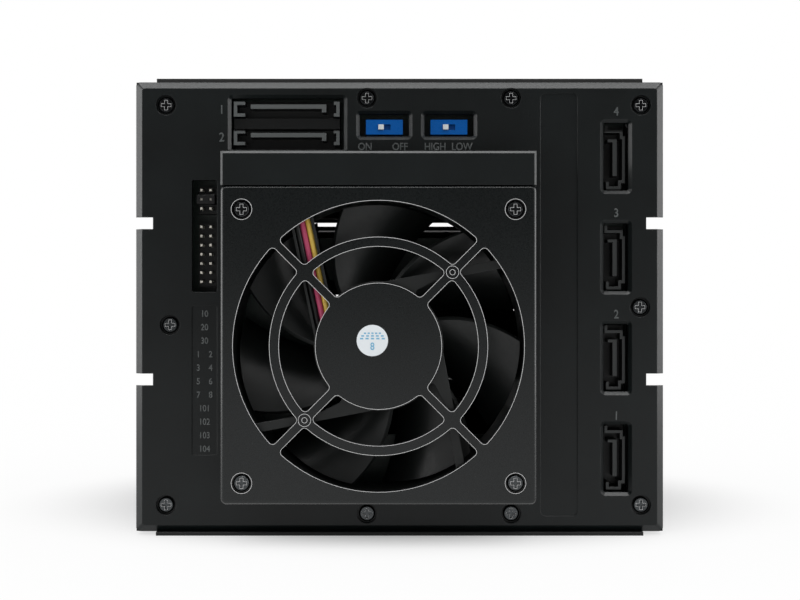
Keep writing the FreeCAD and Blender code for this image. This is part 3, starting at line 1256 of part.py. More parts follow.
def tray_frame():
    """The open carrier that a 3.5 inch drive screws into from both sides."""
    reach = ("rear_face + arm_start", "shell_back")
    low = "tray - arm_low"
    up = (low, "tray + arm_high")
    strap_start = "rear_face + arm_start + strap_inset"
    solid = [
        box("cross_wall", about("0", "arm_outer"),
            ("shell_back - front_wall", "shell_back"),
            ("tray - slot_high + cross_gap", "tray + arm_high")),
        box("strap", about("0", "arm_inner + arm / 2"),
            (strap_start, f"{strap_start} + strap_width"), (low, f"{low} + strap")),
    ]
    holes = []
    for side in SIDES.values():
        solid.append(box("arm", sided(side, "arm_inner", "arm_outer"), reach, up))
        solid.append(box("runner", sided(side, "arm_outer", "runner_reach"),
                         (reach[0], "rail_front - runner_slack"),
                         about("tray", "runner_half")))
        for step in (0, 1):
            y = f"drive_rear + drive_hole + {step} * drive_hole_pitch"
            holes.append(rod("drive_hole", "drive_hole_radius", "arm + 2",
                             (f"{side} * (arm_inner - 1)", y, f"{low} + drive_hole_rise"),
                             (side, 0, 0)))
    return cut("TrayFrame", fuse("tray_blank", solid), holes)


def tray_front():
    """The front shell of a tray: ears for the lever, holes for the button and lock."""
    body = new_body("TrayFront")
    up = about("tray", "front_rise")
    sketch = sketch_at(body, "XZ", "shell_back", "front_outline")
    rounded(sketch, about("0", "front_half"), up, "front_corner")
    block = pad(body, sketch, "plate_front - shell_back", name="block")
    front = number("plate_front")
    dress(body, "Chamfer", block, "front_chamfer",
          lambda edge: lies_at(edge, "Y", front), "front_edges")
    sketch = sketch_at(body, "XZ", "shell_back", "shell_hollow")
    rectangle(sketch, about("0", "front_half - front_wall"),
              about("tray", "front_rise - front_skin"))
    pocket(body, sketch, "plate_back - shell_back", name="shell_hollow_cut")
    sketch = sketch_at(body, "XZ", "plate_back", "front_holes")
    rounded(sketch, ("slot_inset_left - front_half", "front_half - slot_inset_right"),
            ("tray - slot_low", "tray - slot_high"), "slot_corner")
    rounded(sketch, about("button_x", "button_half + fit"),
            about("tray", "button_rise + fit"), "button_corner + fit")
    disc(sketch, "lock_x", "tray", "lock_radius + trunnion_fit")
    for step in (0, 1):
        disc(sketch, f"pipe_x + {step} * pipe_pitch", "tray + pipe_rise", "pipe_radius")
    pocket(body, sketch, "front_plate", name="front_hole_cut")
    sketch = sketch_at(body, "XZ", "plate_back - spring_seat - seat_thick", "button_seat")
    rectangle(sketch, about("button_x", "seat_half"), about("tray", "front_rise - front_skin / 2"))
    pad(body, sketch, "seat_thick", name="button_seat_pad")
    sketch = sketch_at(body, "XZ", "shell_back", "posts")
    for side in SIDES.values():
        disc(sketch, f"{side} * post_x", "tray - post_drop", "post_radius")
    pad(body, sketch, "plate_back - shell_back", name="posts_pad")
    for low in ("tray - knuckle_low - fit - ear_thick", "tray + knuckle_high + fit"):
        sketch = sketch_at(body, "XY", low, "ear_root")
        rectangle(sketch, about("pivot_x", "ear"), ("plate_front - 1", "pivot_y"))
        pad(body, sketch, "ear_thick", name="ear_root_pad")
        sketch = sketch_at(body, "XY", low, "ear_round")
        disc(sketch, "pivot_x", "pivot_y", "ear")
        pad(body, sketch, "ear_thick", name="ear_round_pad")
    sketch = sketch_at(body, "XY", "tray - front_rise", "ear_holes")
    disc(sketch, "pivot_x", "pivot_y", "trunnion + trunnion_fit")
    pocket(body, sketch, "2 * front_rise", name="ear_hole_cut")
    sketch = sketch_at(body, "XZ", "shell_back", "latch_notch")
    rectangle(sketch, about("front_half - notch_inset", "notch_width / 2"),
              ("tray + front_rise - notch_depth", "tray + front_rise + 1"))
    pocket(body, sketch, "plate_front - shell_back", name="latch_notch_cut")
    return body


def handle_lever():
    """The ejector handle, with its knuckle and trunnions moulded on."""
    body = new_body("HandleLever")
    back = "lever_front - lever_thick"
    sketch = sketch_at(body, "XZ", back, "bar_outline")
    rounded(sketch, ("pivot_x + neck_gap", "lever_end"),
            ("tray - lever_low", "tray + lever_high"), "front_corner")
    bar = pad(body, sketch, "lever_thick", name="bar")
    front = number("lever_front")
    dress(body, "Fillet", bar, "lever_edge", lambda edge: lies_at(edge, "Y", front), "edges")
    sketch = sketch_at(body, "XZ", back, "neck_outline")
    rectangle(sketch, ("pivot_x", "pivot_x + neck"),
              ("tray - knuckle_low", "tray + knuckle_high"))
    pad(body, sketch, "lever_thick - neck_step", name="neck")
    for radius, reach in (("knuckle", "0"), ("trunnion", "trunnion_length")):
        sketch = sketch_at(body, "XY", f"tray - knuckle_low - {reach}", radius + "_outline")
        disc(sketch, "pivot_x", "pivot_y", radius)
        pad(body, sketch, f"knuckle_low + knuckle_high + 2 * {reach}", name=radius + "_pad")
    sketch = sketch_at(body, "XZ", "lever_front - lever_rib_deep", "ribs")
    for step in (-1, 0, 1):
        rounded(sketch, ("pivot_x + lever_rib_inset", "lever_end - lever_rib_inset"),
                about(f"tray + (lever_high - lever_low) / 2 + {step} * lever_rib_pitch",
                      "lever_rib / 2"), "slot_corner")
    pocket(body, sketch, "lever_rib_deep", name="rib_cut")
    sketch = sketch_at(body, "XZ", back, "finger_scoop")
    rounded(sketch, ("lever_end - scoop", "lever_end + 2"), about("tray", "scoop_half"),
            "front_corner")
    pocket(body, sketch, "scoop_deep", name="finger_scoop_cut")
    return body


def release_button():
    body = new_body("ReleaseButton")
    flange_front = "plate_back - fit"
    sketch = sketch_at(body, "XZ", flange_front, "button_outline")
    rounded(sketch, about("button_x", "button_half"), about("tray", "button_rise"),
            "button_corner")
    stem = pad(body, sketch, "front_plate + fit + button_proud", name="stem")
    front = number("plate_front + button_proud")
    dress(body, "Fillet", stem, "button_edge", lambda edge: lies_at(edge, "Y", front), "edges")
    sketch = sketch_at(body, "XZ", flange_front, "flange_outline")
    rectangle(sketch, about("button_x", "button_half + button_flange"),
              about("tray", "button_rise + button_flange"))
    pad(body, sketch, "button_flange_thick", -1, "flange_pad")
    return body


def button_spring():
    """A bent leaf between the button's flange and the tray's button seat."""
    body = new_body("ButtonSpring")
    sketch = sketch_at(body, "XY", "tray - spring_width / 2", "leaf_outline")
    seat, top = "plate_back - spring_seat", "plate_back - fit - button_flange_thick"
    left, right = about("button_x", "spring_half")
    lower, upper = f"{seat} + spring_thick", f"{top} - spring_thick"
    polygon(sketch, [
        (left, seat), (right, seat), (right, lower), (f"{left} + 1.6", f"{seat} + 2.6"),
        (right, upper), (right, top), (f"{right} - 0.8", top), (left, f"{seat} + 2.8"),
        (left, f"{seat} + 2.3"), (f"{right} - 2.6", lower), (left, lower),
    ])
    pad(body, sketch, "spring_width", name="leaf")
    return body


def tray_lock():
    """The key lock: a slotted barrel with a cam behind the front plate."""
    back = "plate_back - lock_behind"
    barrel = rod("barrel", "lock_radius", "front_plate + lock_behind + lock_proud",
                 ("lock_x", back, "tray"), (0, 1, 0))
    cam = box("cam", ("lock_x", "lock_x + cam"), (f"{back} - cam_thick", back),
              about("tray", "cam_half"))
    slot = box("key_slot", about("lock_x", "key_slot / 2"),
               ("plate_front + lock_proud - key_slot_deep", "bezel_front + 1"),
               about("tray", "key_slot_half"))
    return cut("TrayLock", fuse("lock_blank", [barrel, cam]), [slot])


def light_pipes():
    pipes = [rod("pipe", "pipe_radius", "front_plate + pipe_behind + pipe_proud",
                 (f"pipe_x + {step} * pipe_pitch", "plate_back - pipe_behind",
                  "tray + pipe_rise"), (0, 1, 0)) for step in (0, 1)]
    return group("LightPipes", pipes)


TRAY_PIECES = {
    "tray_frame": tray_frame, "tray_front": tray_front, "handle_lever": handle_lever,
    "release_button": release_button, "button_spring": button_spring,
    "tray_lock": tray_lock, "light_pipes": light_pipes,
}


def drive_trays():
    """Every tray piece once for each bay: the first is modelled, the others are links."""
    for name, make in TRAY_PIECES.items():
        first = make()
        node(f"{name}_1", first)
        for bay in BAYS[1:]:
            copy = copy_of(first, f"{name}_copy_{bay}", z=f"{bay - 1} * bay_pitch")
            node(f"{name}_{bay}", copy)


# ---- Build, check and write ------------------------------------------------------------

def check_document():
    doc.recompute()
    for item in doc.Objects:
        if "Invalid" in item.State or "Error" in item.State:
            raise ValueError(f"{item.Name}: {item.State}")
    for item in NODES:
        shape = Part.getShape(item)
        if shape.isNull() or not shape.isValid() or not shape.Solids:
            raise ValueError(f"{item.Label}: the shape is null, open or invalid")


def write_parts():
    os.makedirs("parts", exist_ok=True)
    for item in NODES:
        Part.getShape(item).exportStep(f"parts/{item.Label}.step")


for side_name in SIDES:
    side_frame(side_name)
sheet_cover("top", "body_height", "frame_high", TOP_TABS, "frame_high - tab_drop")
sheet_cover("bottom", "0", "frame_low", BOTTOM_TABS, "frame_low + tab_drop")
rear_panel()
front_bezel()
housing_screws()
fan_cover()
fan_frame()
fan_rotor()
fan_motor()
fan_wiring()
fan_cover_screws()
backplane_board()
drive_sockets()
data_ports()
power_ports()
slide_switch("led", "led_switch_x")
slide_switch("fan", "fan_switch_x")
pin_header()
drive_trays()
check_document()
write_parts()
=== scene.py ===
"""Looks for the hot swap drive cage: finishes, small details, light and camera."""

import json
import math

import bmesh
import bpy
from mathutils import Matrix, Vector


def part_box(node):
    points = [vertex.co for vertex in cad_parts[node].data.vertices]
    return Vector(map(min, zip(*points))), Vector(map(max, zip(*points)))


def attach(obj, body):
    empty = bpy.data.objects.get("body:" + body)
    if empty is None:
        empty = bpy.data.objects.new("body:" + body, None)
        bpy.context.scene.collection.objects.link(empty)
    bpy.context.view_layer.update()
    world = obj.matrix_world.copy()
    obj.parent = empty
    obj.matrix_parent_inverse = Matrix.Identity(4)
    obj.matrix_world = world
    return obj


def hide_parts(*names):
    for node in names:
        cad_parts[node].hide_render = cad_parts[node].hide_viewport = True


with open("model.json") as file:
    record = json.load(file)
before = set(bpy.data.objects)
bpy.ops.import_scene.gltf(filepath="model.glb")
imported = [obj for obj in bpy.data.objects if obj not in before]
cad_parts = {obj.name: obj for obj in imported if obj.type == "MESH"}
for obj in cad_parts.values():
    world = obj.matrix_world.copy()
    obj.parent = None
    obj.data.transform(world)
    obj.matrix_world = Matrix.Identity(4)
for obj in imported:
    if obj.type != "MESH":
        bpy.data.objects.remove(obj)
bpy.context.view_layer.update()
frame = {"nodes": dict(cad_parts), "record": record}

MM = 0.001
BAYS = (1, 2, 3, 4)

# Places read from the frame: the rear is towards -Y and up is +Z
TOWER_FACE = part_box("rear_panel")[0].y
COVER_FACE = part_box("fan_cover")[0].y
DATA_LOW, DATA_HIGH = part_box("sata_ports")
POWER_LOW, POWER_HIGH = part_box("power_ports")

# Measures of the rear panel that no box gives
TOWER_DEPTH = 26 * MM
PANEL_FACE = TOWER_FACE + TOWER_DEPTH
PANEL_RIM = 1.9 * MM
CHART_RECESS = 0.2 * MM


# ---- Materials -------------------------------------------------------------------------

def new_material(name):
    """A fresh material with its nodes, its links and its Principled shader."""
    material = bpy.data.materials.new(name)
    material.use_nodes = True
    nodes = material.node_tree.nodes
    return material, nodes, material.node_tree.links, nodes["Principled BSDF"]


def coordinates(nodes):
    """A place on a piece, in the piece's own metres."""
    return nodes.new("ShaderNodeTexCoord").outputs["Object"]


def noise(nodes, links, scale, detail=3.0, stretch=None):
    """A noise in the piece's own metres, its scale changed by axis if asked."""
    texture = nodes.new("ShaderNodeTexNoise")
    texture.inputs["Scale"].default_value = scale
    texture.inputs["Detail"].default_value = detail
    source = coordinates(nodes)
    if stretch:
        mapping = nodes.new("ShaderNodeMapping")
        mapping.inputs["Scale"].default_value = stretch
        links.new(source, mapping.inputs["Vector"])
        source = mapping.outputs["Vector"]
    links.new(source, texture.inputs["Vector"])
    return texture.outputs["Fac"]


def blend_range(nodes, links, source, low, high, near=0.3, far=0.7, smooth=False):
    """Map near..far, by default the middle of a noise's range, onto low..high."""
    spread = nodes.new("ShaderNodeMapRange")
    spread.interpolation_type = "SMOOTHSTEP" if smooth else "LINEAR"
    spread.inputs["From Min"].default_value = near
    spread.inputs["From Max"].default_value = far
    spread.inputs["To Min"].default_value = low
    spread.inputs["To Max"].default_value = high
    links.new(source, spread.inputs["Value"])
    return spread.outputs["Result"]


def combine(nodes, links, operation, first, second, clamp=False):
    """One value worked out from two."""
    maths = nodes.new("ShaderNodeMath")
    maths.operation = operation
    maths.use_clamp = clamp
    links.new(first, maths.inputs[0])
    links.new(second, maths.inputs[1])
    return maths.outputs["Value"]


def two_tone(nodes, links, source, dark, light):
    """A colour between two, by a value."""
    mix = nodes.new("ShaderNodeMix")
    mix.data_type = "RGBA"
    mix.inputs["A"].default_value = (*dark, 1)
    mix.inputs["B"].default_value = (*light, 1)
    links.new(source, mix.inputs["Factor"])
    return mix.outputs["Result"]


def round_edges(nodes, links, shader, radius, height, strength, depth):
    """Soften the edges' shading by a radius, with a bump by the height on top."""
    edge = nodes.new("ShaderNodeBevel")
    edge.samples = 4
    edge.inputs["Radius"].default_value = radius
    bump = nodes.new("ShaderNodeBump")
    bump.inputs["Strength"].default_value = strength
    bump.inputs["Distance"].default_value = depth
    links.new(height, bump.inputs["Height"])
    links.new(edge.outputs["Normal"], bump.inputs["Normal"])
    links.new(bump.outputs["Normal"], shader.inputs["Normal"])


def moulded(name, colour, rough=0.5, grain=2400, grain_strength=0.35, specular=0.4,
            edge=0.25 * MM, vary=0.25, coat=0.0):
    """Moulded plastic with a fine spark-eroded grain and slightly uneven gloss."""
    gloss_spread = 0.06
    material, nodes, links, shader = new_material(name)
    broad = blend_range(nodes, links, noise(nodes, links, scale=60, detail=4), 0, 1)
    dark = tuple(channel * (1 - vary) for channel in colour)
    light = tuple(channel * (1 + vary) for channel in colour)
    links.new(two_tone(nodes, links, broad, dark, light), shader.inputs["Base Color"])
    fine = noise(nodes, links, grain, detail=2)
    links.new(blend_range(nodes, links, fine, rough - gloss_spread,
                          rough + gloss_spread), shader.inputs["Roughness"])
    shader.inputs["Specular IOR Level"].default_value = specular
    shader.inputs["Coat Weight"].default_value = coat
    shader.inputs["Coat Roughness"].default_value = 0.2
    round_edges(nodes, links, shader, edge, fine, grain_strength, depth=0.00006)
    return material


def port_plastic(name):
    """Black port plastic, with painted light that makes the open rear ends pale, as if lit.
    """
    # Depths between which the painted light fades from pale to black
    painted_light_full_at, painted_light_gone_at = POWER_LOW.y + 0.4 * MM, POWER_LOW.y + 2.6 * MM
    bridge, bridge_half = (POWER_LOW.z + POWER_HIGH.z) / 2, 1.9 * MM
    black, painted_lit_grey = (0.0025, 0.003, 0.003), (0.1, 0.108, 0.108)
    material, nodes, links, shader = new_material(name)
    place = nodes.new("ShaderNodeSeparateXYZ")
    links.new(coordinates(nodes), place.inputs["Vector"])
    painted_light_by_depth = blend_range(nodes, links, place.outputs["Y"], 1, 0, near=painted_light_full_at,
                            far=painted_light_gone_at, smooth=True)
    # What is level with the middle between the two power ports stays black, without the
    # painted light
    middle = nodes.new("ShaderNodeMath")
    middle.operation = "COMPARE"
    middle.inputs[1].default_value = bridge
    middle.inputs[2].default_value = bridge_half
    links.new(place.outputs["Z"], middle.inputs[0])
    painted_lit_rims = combine(nodes, links, "SUBTRACT", painted_light_by_depth, middle.outputs["Value"],
                   clamp=True)
    links.new(two_tone(nodes, links, painted_lit_rims, black, painted_lit_grey), shader.inputs["Base Color"])
    fine = noise(nodes, links, scale=2600, detail=2)
    links.new(blend_range(nodes, links, fine, 0.3, 0.42), shader.inputs["Roughness"])
    shader.inputs["Specular IOR Level"].default_value = 0.35
    round_edges(nodes, links, shader, 0.14 * MM, fine, strength=0.2, depth=0.00003)
    return material


def metal(name, colour, rough=0.3, edge=0.12 * MM, brushed=None, metallic=1.0):
    """Metal with a fine uneven gloss, drawn out along an axis if brushed."""
    material, nodes, links, shader = new_material(name)
    shader.inputs["Metallic"].default_value = metallic
    broad = blend_range(nodes, links, noise(nodes, links, scale=500, detail=4), 0, 1)
    dark = tuple(channel * 0.8 for channel in colour)
    links.new(two_tone(nodes, links, broad, dark, colour), shader.inputs["Base Color"])
    scratch = noise(nodes, links, scale=3000, detail=3, stretch=brushed)
    links.new(blend_range(nodes, links, scratch, rough * 0.8, rough * 1.3),
              shader.inputs["Roughness"])
    round_edges(nodes, links, shader, edge, scratch, strength=0.15, depth=0.00002)
    return material


def circuit_board(name):
    """Green solder mask with a faint grid of straight tracks."""
    material, nodes, links, shader = new_material(name)
    tracks = nodes.new("ShaderNodeTexBrick")
    tracks.inputs["Scale"].default_value = 180
    tracks.inputs["Mortar Size"].default_value = 0.012
    tracks.inputs["Color1"].default_value = (0.004, 0.016, 0.011, 1)
    tracks.inputs["Color2"].default_value = (0.005, 0.02, 0.013, 1)
    tracks.inputs["Mortar"].default_value = (0.009, 0.035, 0.022, 1)
    turn = nodes.new("ShaderNodeMapping")
    turn.inputs["Rotation"].default_value = (math.pi / 2, 0, 0)
    links.new(coordinates(nodes), turn.inputs["Vector"])
    links.new(turn.outputs["Vector"], tracks.inputs["Vector"])
    links.new(tracks.outputs["Color"], shader.inputs["Base Color"])
    links.new(blend_range(nodes, links, noise(nodes, links, scale=900), 0.3, 0.42),
              shader.inputs["Roughness"])
    round_edges(nodes, links, shader, 0.1 * MM, tracks.outputs["Fac"], strength=0.2,
                depth=0.00003)
    return material


def clear_pipe(name):
    """Clear acrylic of the light pipes, a little cloudy."""
    material, nodes, links, shader = new_material(name)
    shader.inputs["Transmission Weight"].default_value = 0.85
    shader.inputs["IOR"].default_value = 1.49
    shade = blend_range(nodes, links, noise(nodes, links, scale=700), 0, 1)
    links.new(two_tone(nodes, links, shade, (0.7, 0.8, 0.78), (0.85, 0.92, 0.9)),
              shader.inputs["Base Color"])
    links.new(blend_range(nodes, links, noise(nodes, links, scale=1500), 0.12, 0.3),
              shader.inputs["Roughness"])
    return material


FINISHES = {
    "shell_black": moulded("shell_black", (0.0036, 0.0056, 0.0058), rough=0.4, grain=2200,
                           grain_strength=0.6, specular=0.2, edge=0.35 * MM, coat=0.2),
    "cover_black": moulded("cover_black", (0.0026, 0.0042, 0.0044), rough=0.28, grain=1500,
                           grain_strength=0.06, specular=0.16, edge=0.35 * MM, vary=0.12,
                           coat=0.5),
    "sheet_black": moulded("sheet_black", (0.008, 0.0085, 0.0085), rough=0.5, grain=2600,
                           grain_strength=0.5, specular=0.35),
    "tray_black": moulded("tray_black", (0.008, 0.0085, 0.0085), rough=0.5, grain=2200,
                          grain_strength=0.4, specular=0.35),
    "lever_black": moulded("lever_black", (0.007, 0.0078, 0.0078), rough=0.4, grain=2000,
                           grain_strength=0.2, specular=0.35),
    "fan_black": moulded("fan_black", (0.0055, 0.0068, 0.0065), rough=0.42, grain=1400,
                         grain_strength=0.12, specular=0.4),
    "port_black": port_plastic("port_black"),
    "jumper_black": moulded("jumper_black", (0.005, 0.005, 0.0055), rough=0.35, grain=3000,
                            grain_strength=0.2, specular=0.35),
    "button_grey": moulded("button_grey", (0.04, 0.043, 0.045), rough=0.42, grain=2200,
                           grain_strength=0.3),
    "switch_blue": moulded("switch_blue", (0.0, 0.1, 0.4), rough=0.3, grain=2500,
                           grain_strength=0.15, specular=0.1, edge=0.12 * MM, vary=0.1),
    "knob_white": moulded("knob_white", (0.72, 0.76, 0.78), rough=0.35, grain=2500,
                          grain_strength=0.15, edge=0.12 * MM, vary=0.05),
    "plug_white": moulded("plug_white", (0.62, 0.6, 0.52), rough=0.4, grain=2500,
                          grain_strength=0.2, vary=0.06),
    "wire_black": moulded("wire_black", (0.006, 0.006, 0.006), rough=0.35, grain=1800,
                          grain_strength=0.15),
    "wire_red": moulded("wire_red", (0.42, 0.05, 0.12), rough=0.4, grain=1800,
                        grain_strength=0.15, vary=0.1),
    "wire_yellow": moulded("wire_yellow", (0.62, 0.42, 0.07), rough=0.4, grain=1800,
                           grain_strength=0.15, vary=0.1),
    "screw_black": metal("screw_black", (0.07, 0.075, 0.078), rough=0.16, edge=0.14 * MM),
    "screw_steel": metal("screw_steel", (0.55, 0.55, 0.56), rough=0.28),
    "shaft_steel": metal("shaft_steel", (0.6, 0.6, 0.62), rough=0.2, brushed=(1, 0.05, 1)),
    "lock_steel": metal("lock_steel", (0.62, 0.62, 0.64), rough=0.22),
    "stator_copper": metal("stator_copper", (0.55, 0.22, 0.09), rough=0.35,
                           brushed=(1, 1, 0.1)),
    "pin_gold": metal("pin_gold", (0.8, 0.77, 0.68), rough=0.3, metallic=0.35),
    # Letters paler than the black panel they stand on: a painted highlight for the glints
    # on their edges
    "mark_grey": moulded("mark_grey", (0.075, 0.085, 0.085), rough=0.3, grain=2600,
                         grain_strength=0.2, specular=0.5, edge=0.06 * MM, coat=0.5),
    # Paler than the black it lines: a painted highlight along sharp edges, with some real
    # gloss
    "painted_edge_glint": metal("painted_edge_glint", (0.13, 0.145, 0.145), rough=0.3, edge=0.02 * MM,
                         metallic=0.5),
    "label_white": moulded("label_white", (0.76, 0.8, 0.83), rough=0.4, grain=1800,
                           grain_strength=0.1, specular=0.3, edge=0.03 * MM, vary=0.03),
    "label_blue": moulded("label_blue", (0.16, 0.42, 0.62), rough=0.4, grain=1800,
                          grain_strength=0.1, specular=0.3, edge=0.02 * MM, vary=0.05),
    "board_green": circuit_board("board_green"),
    "pipe_clear": clear_pipe("pipe_clear"),
}


def smooth_rounds(item):
    """Smooth an object's round faces and keep its flat ones flat."""
    sharp_from = math.radians(32)
    by_area_alone = 100
    item.data.shade_smooth()
    item.data.set_sharp_from_angle(angle=sharp_from)
    weigh = item.modifiers.new("flats", "WEIGHTED_NORMAL")
    weigh.keep_sharp = True
    weigh.weight = by_area_alone


def dress_nodes():
    """Give every CAD node its slot's finish and smooth its round faces."""
    slots = {part["node"]: part["material_slot"] for part in frame["record"]["subparts"]}
    for name, item in frame["nodes"].items():
        item.data.materials.clear()
        item.data.materials.append(FINISHES[slots[name]])
        smooth_rounds(item)


dress_nodes()


# ---- Markings and small details --------------------------------------------------------

SAME_POINT = 0.001 * MM


def lettering(name, words, x, z, high, face, finish="mark_grey", relief=0.12 * MM):
    """Raised characters, centred on a place, standing out of a face towards the rear."""
    capital_share, narrowing = 0.7, 0.86
    data = bpy.data.curves.new(name, "FONT")
    data.body = words
    data.size = high / capital_share
    data.align_x, data.align_y = "CENTER", "CENTER"
    data.extrude = relief
    data.bevel_depth = 0.04 * MM
    data.bevel_resolution = 1
    data.resolution_u = 6
    data.materials.append(FINISHES[finish])
    item = bpy.data.objects.new(name, data)
    bpy.context.collection.objects.link(item)
    item.location = (x, face, z)
    item.rotation_euler = (math.pi / 2, 0, 0)
    item.scale = (narrowing, 1, 1)
    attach(item, "cage")


def add_mesh(name, mesh, finish, body="cage"):
    """Turn a bmesh into a piece with a finish, riding on a body."""
    data = bpy.data.meshes.new(name)
    mesh.to_mesh(data)
    mesh.free()
    data.materials.append(FINISHES[finish])
    item = bpy.data.objects.new(name, data)
    bpy.context.collection.objects.link(item)
    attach(item, body)
    return item


def soft_box(mesh, low, high, round_off):
    """Add a box with softened edges between two corners."""
    made = bmesh.ops.create_cube(mesh, size=1)["verts"]
    centre = (Vector(low) + Vector(high)) / 2
    size = Vector(high) - Vector(low)
    for vertex in made:
        vertex.co = Vector(a * b for a, b in zip(vertex.co, size)) + centre
    edges = {edge for vertex in made for edge in vertex.link_edges}
    bmesh.ops.bevel(mesh, geom=list(edges), offset=round_off, segments=2, affect="EDGES")


def polished_edges(node, radius):
    """A fine pale bead along a node's sharp rear edges: a painted highlight for the light
    they catch.
    """
    facing_rear, along_the_wall = -0.9, 0.5
    source = bmesh.new()
    source.from_mesh(frame["nodes"][node].data)
    bmesh.ops.remove_doubles(source, verts=source.verts, dist=SAME_POINT)
    outline, ends = bmesh.new(), {}
    for edge in source.edges:
        if len(edge.link_faces) != 2 or not edge.is_convex:
            continue
        outward, wall = sorted(face.normal.y for face in edge.link_faces)
        if outward > facing_rear or abs(wall) > along_the_wall:
            continue
        for vertex in edge.verts:
            if vertex not in ends:
                ends[vertex] = outline.verts.new(vertex.co)
        outline.edges.new([ends[vertex] for vertex in edge.verts])
    source.free()
    bead = add_mesh(f"{node}_edges", outline, "painted_edge_glint")
    bpy.ops.object.select_all(action="DESELECT")
    bead.select_set(True)
    bpy.context.view_layer.objects.active = bead
    bpy.ops.object.convert(target="CURVE")
    bead.data.bevel_depth = radius
    bead.data.bevel_resolution = 1
    bpy.ops.object.convert(target="MESH")


def port_numbers():
    """A plain number beside each power port and above each data port."""
    power_high, power_aside = 2.4 * MM, 3.2 * MM
    for number, share in ((1, 0.78), (2, 0.22)):
        lettering(f"power_number_{number}", str(number), POWER_LOW.x - power_aside,
                  POWER_LOW.z + share * (POWER_HIGH.z - POWER_LOW.z), power_high,
                  PANEL_FACE)
    data_high, first, pitch = 2.3 * MM, 33.0 * MM, 28 * MM
    for number in BAYS:
        lettering(f"data_number_{number}", str(number), (DATA_LOW.x + DATA_HIGH.x) / 2,
                  first + (number - 1) * pitch, data_high, PANEL_FACE)


def switch_words():
    """What each setting of the two slide switches does, in a row below them."""
    row, high = 107.3 * MM, 2.0 * MM
    for word, x in (("ON", -9.55), ("OFF", 0.1), ("HIGH", 9.8), ("LOW", 17.2)):
        lettering(f"switch_{word.lower()}", word, x * MM, row, high, PANEL_FACE)


def jumper_chart():
    """The chart below the pin header: rows of plain numbers in its recess."""
    rows = (("10",), ("20",), ("30",), ("1", "2"), ("3", "4"), ("5", "6"), ("7", "8"),
            ("101",), ("102",), ("103",), ("104",))
    middle, top, pitch = -53.85 * MM, 61.2 * MM, 3.73 * MM
    spacing, high = 3.4, 1.7 * MM
    for row, numbers in enumerate(rows):
        for place, number in enumerate(numbers):
            aside = (place - (len(numbers) - 1) / 2) * spacing * MM
            lettering(f"chart_{number}", number, middle + aside, top - row * pitch,
                      high, PANEL_FACE + CHART_RECESS, relief=0.1 * MM)


def hub_sticker():
    """A round paper label on the cover's hub, with a plain number and ruled marks."""
    x, z = -7.1 * MM, 54.5 * MM
    radius, thick, rim = 4.1 * MM, 0.05 * MM, 0.04 * MM
    label = bmesh.new()
    bmesh.ops.create_cone(label, cap_ends=True, segments=96, radius1=radius,
                          radius2=radius - rim, depth=thick,
                          matrix=Matrix.Translation((x, COVER_FACE - thick / 2, z))
                          @ Matrix.Rotation(math.pi / 2, 4, "X"))
    add_mesh("hub_label", label, "label_white")

    # Three rows of five dashes, each row given by its height and half its length in mm
    marks = bmesh.new()
    ink, sunk, soft = 0.012 * MM, 0.01 * MM, 0.004 * MM
    dash_pitch, dash_share, dash_half = 0.44, 0.26, 0.2
    paper = COVER_FACE - thick
    for step, half in ((1.9, 2.2), (1.2, 2.9), (0.5, 3.2)):
        for dash in range(5):
            start = -half + dash * half * dash_pitch
            end = start + half * dash_share
            soft_box(marks, (x + start * MM, paper - ink, z + (step - dash_half) * MM),
                     (x + end * MM, paper + sunk, z + (step + dash_half) * MM), soft)
    add_mesh("hub_label_marks", marks, "label_blue")
    lettering("hub_label_number", "8", x, z - 1.6 * MM, 1.9 * MM, paper,
              finish="label_blue", relief=ink)


def set_back_cover():
    """The top sheet, with its rear edge set back to where the panel's rim ends."""
    sheet = frame["nodes"]["top_cover"]
    mesh = bmesh.new()
    mesh.from_mesh(sheet.data)
    for vertex in mesh.verts:
        vertex.co.y = max(vertex.co.y, PANEL_FACE + PANEL_RIM)
    bmesh.ops.remove_doubles(mesh, verts=mesh.verts, dist=SAME_POINT)
    piece = add_mesh("top_sheet", mesh, "sheet_black")
    smooth_rounds(piece)
    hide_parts("top_cover")


set_back_cover()
# Painted highlights along the sharp rear edges of the fan cover and of the screws
for edged, bead_radius in (("fan_cover", 0.055 * MM), ("fan_cover_screws", 0.05 * MM),
                           ("rear_panel_screws", 0.05 * MM)):
    polished_edges(edged, bead_radius)
port_numbers()
switch_words()
jumper_chart()
hub_sticker()


# ---- Light, floor and camera -----------------------------------------------------------

def surround():
    """A white surround, which gloss mirrors as nearly black at the rear (-Y)."""
    darkest, dark_end, bright_end = 0.06, -1.0, -0.3
    world = bpy.data.worlds.new("surround")
    bpy.context.scene.world = world
    world.use_nodes = True
    nodes, links = world.node_tree.nodes, world.node_tree.links
    way = nodes.new("ShaderNodeSeparateXYZ")
    links.new(nodes.new("ShaderNodeTexCoord").outputs["Generated"], way.inputs["Vector"])
    mirrored = blend_range(nodes, links, way.outputs["Y"], darkest, 1.0, near=dark_end,
                           far=bright_end, smooth=True)
    seen = nodes.new("ShaderNodeLightPath")
    level = nodes.new("ShaderNodeMix")
    level.inputs["A"].default_value = 1.0
    links.new(seen.outputs["Is Glossy Ray"], level.inputs["Factor"])
    links.new(mirrored, level.inputs["B"])
    straight = combine(nodes, links, "MAXIMUM", seen.outputs["Is Camera Ray"],
                       seen.outputs["Is Transmission Ray"])
    strength = nodes.new("ShaderNodeMix")
    strength.inputs["B"].default_value = 1.0
    links.new(straight, strength.inputs["Factor"])
    links.new(level.outputs["Result"], strength.inputs["A"])
    around = nodes["Background"]
    around.inputs["Color"].default_value = (1, 1, 1, 1)
    links.new(strength.outputs["Result"], around.inputs["Strength"])


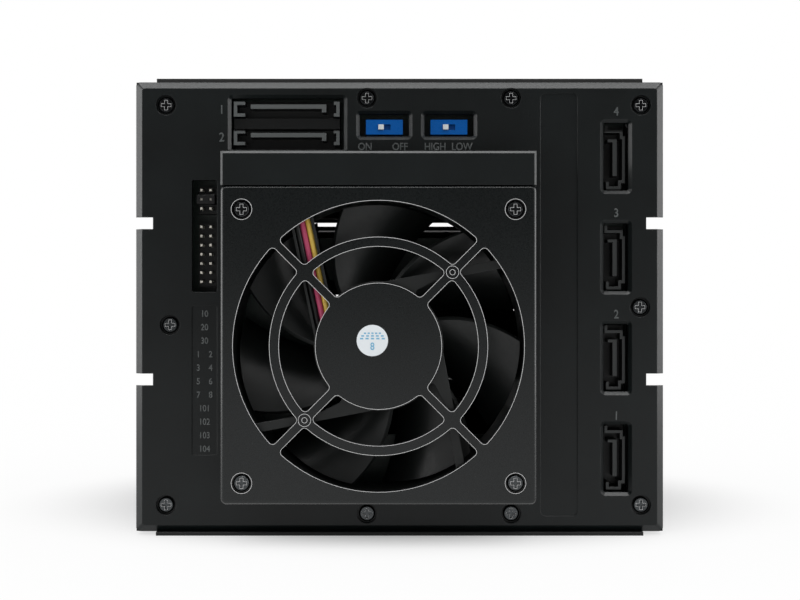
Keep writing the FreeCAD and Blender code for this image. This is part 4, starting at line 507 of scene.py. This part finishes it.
def floor():
    """A white floor that keeps the cage's shadow and runs out into the surround."""
    glow_starts, glow_whole, glow = 0.05, 0.135, 0.92
    bpy.ops.mesh.primitive_plane_add(size=6, location=(0, 0, 0))
    item = bpy.context.object
    item.name = "floor"
    material, nodes, links, shader = new_material("floor")
    shader.inputs["Base Color"].default_value = (0.98, 0.98, 0.98, 1)
    shader.inputs["Roughness"].default_value = 0.7
    shader.inputs["Specular IOR Level"].default_value = 0.0
    away = nodes.new("ShaderNodeVectorMath")
    away.operation = "LENGTH"
    links.new(nodes.new("ShaderNodeTexCoord").outputs["Object"], away.inputs[0])
    far = blend_range(nodes, links, away.outputs["Value"], 0, glow, near=glow_starts,
                      far=glow_whole, smooth=True)
    seen = nodes.new("ShaderNodeLightPath")
    through = combine(nodes, links, "MAXIMUM", seen.outputs["Is Glossy Ray"],
                      seen.outputs["Is Transmission Ray"])
    looked_at = combine(nodes, links, "MAXIMUM", seen.outputs["Is Camera Ray"], through)
    share = combine(nodes, links, "MULTIPLY", far, looked_at)
    white = nodes.new("ShaderNodeEmission")
    white.inputs["Color"].default_value = (1, 1, 1, 1)
    blend = nodes.new("ShaderNodeMixShader")
    links.new(share, blend.inputs["Fac"])
    links.new(shader.outputs["BSDF"], blend.inputs[1])
    links.new(white.outputs["Emission"], blend.inputs[2])
    links.new(blend.outputs["Shader"], nodes["Material Output"].inputs["Surface"])
    item.data.materials.append(material)


def lamps():
    """Soft boxes that only gloss mirrors: the even surround lights the colours."""
    aimed_at = Vector((0, PANEL_FACE, 0.06))
    for name, place, size, power in (
            ("left", (-0.6, -0.16, 0.12), (0.5, 0.7), 4.2),
            ("right", (0.6, -0.16, 0.12), (0.5, 0.7), 4.2),
            ("top", (0.0, -0.2, 0.72), (0.8, 0.4), 6.5)):
        light = bpy.data.lights.new(name, "AREA")
        light.shape = "RECTANGLE"
        light.size, light.size_y = size
        light.energy = power
        lamp = bpy.data.objects.new(name, light)
        bpy.context.collection.objects.link(lamp)
        lamp.visible_diffuse = False
        lamp.location = place
        aim = aimed_at - lamp.location
        lamp.rotation_euler = aim.to_track_quat("-Z", "Y").to_euler()


def camera():
    """The photograph's view, square on to the rear panel."""
    aside, distance, height = 0.11 * MM, 473 * MM, 65.07 * MM
    data = bpy.data.cameras.new("camera")
    data.lens = 77.1
    data.sensor_width = 36
    data.clip_start = 0.01
    item = bpy.data.objects.new("camera", data)
    bpy.context.collection.objects.link(item)
    item.location = (aside, PANEL_FACE - distance, height)
    item.rotation_euler = (math.pi / 2, 0, 0)
    bpy.context.scene.camera = item


bpy.context.scene.view_settings.view_transform = "Standard"
surround()
floor()
lamps()
camera()
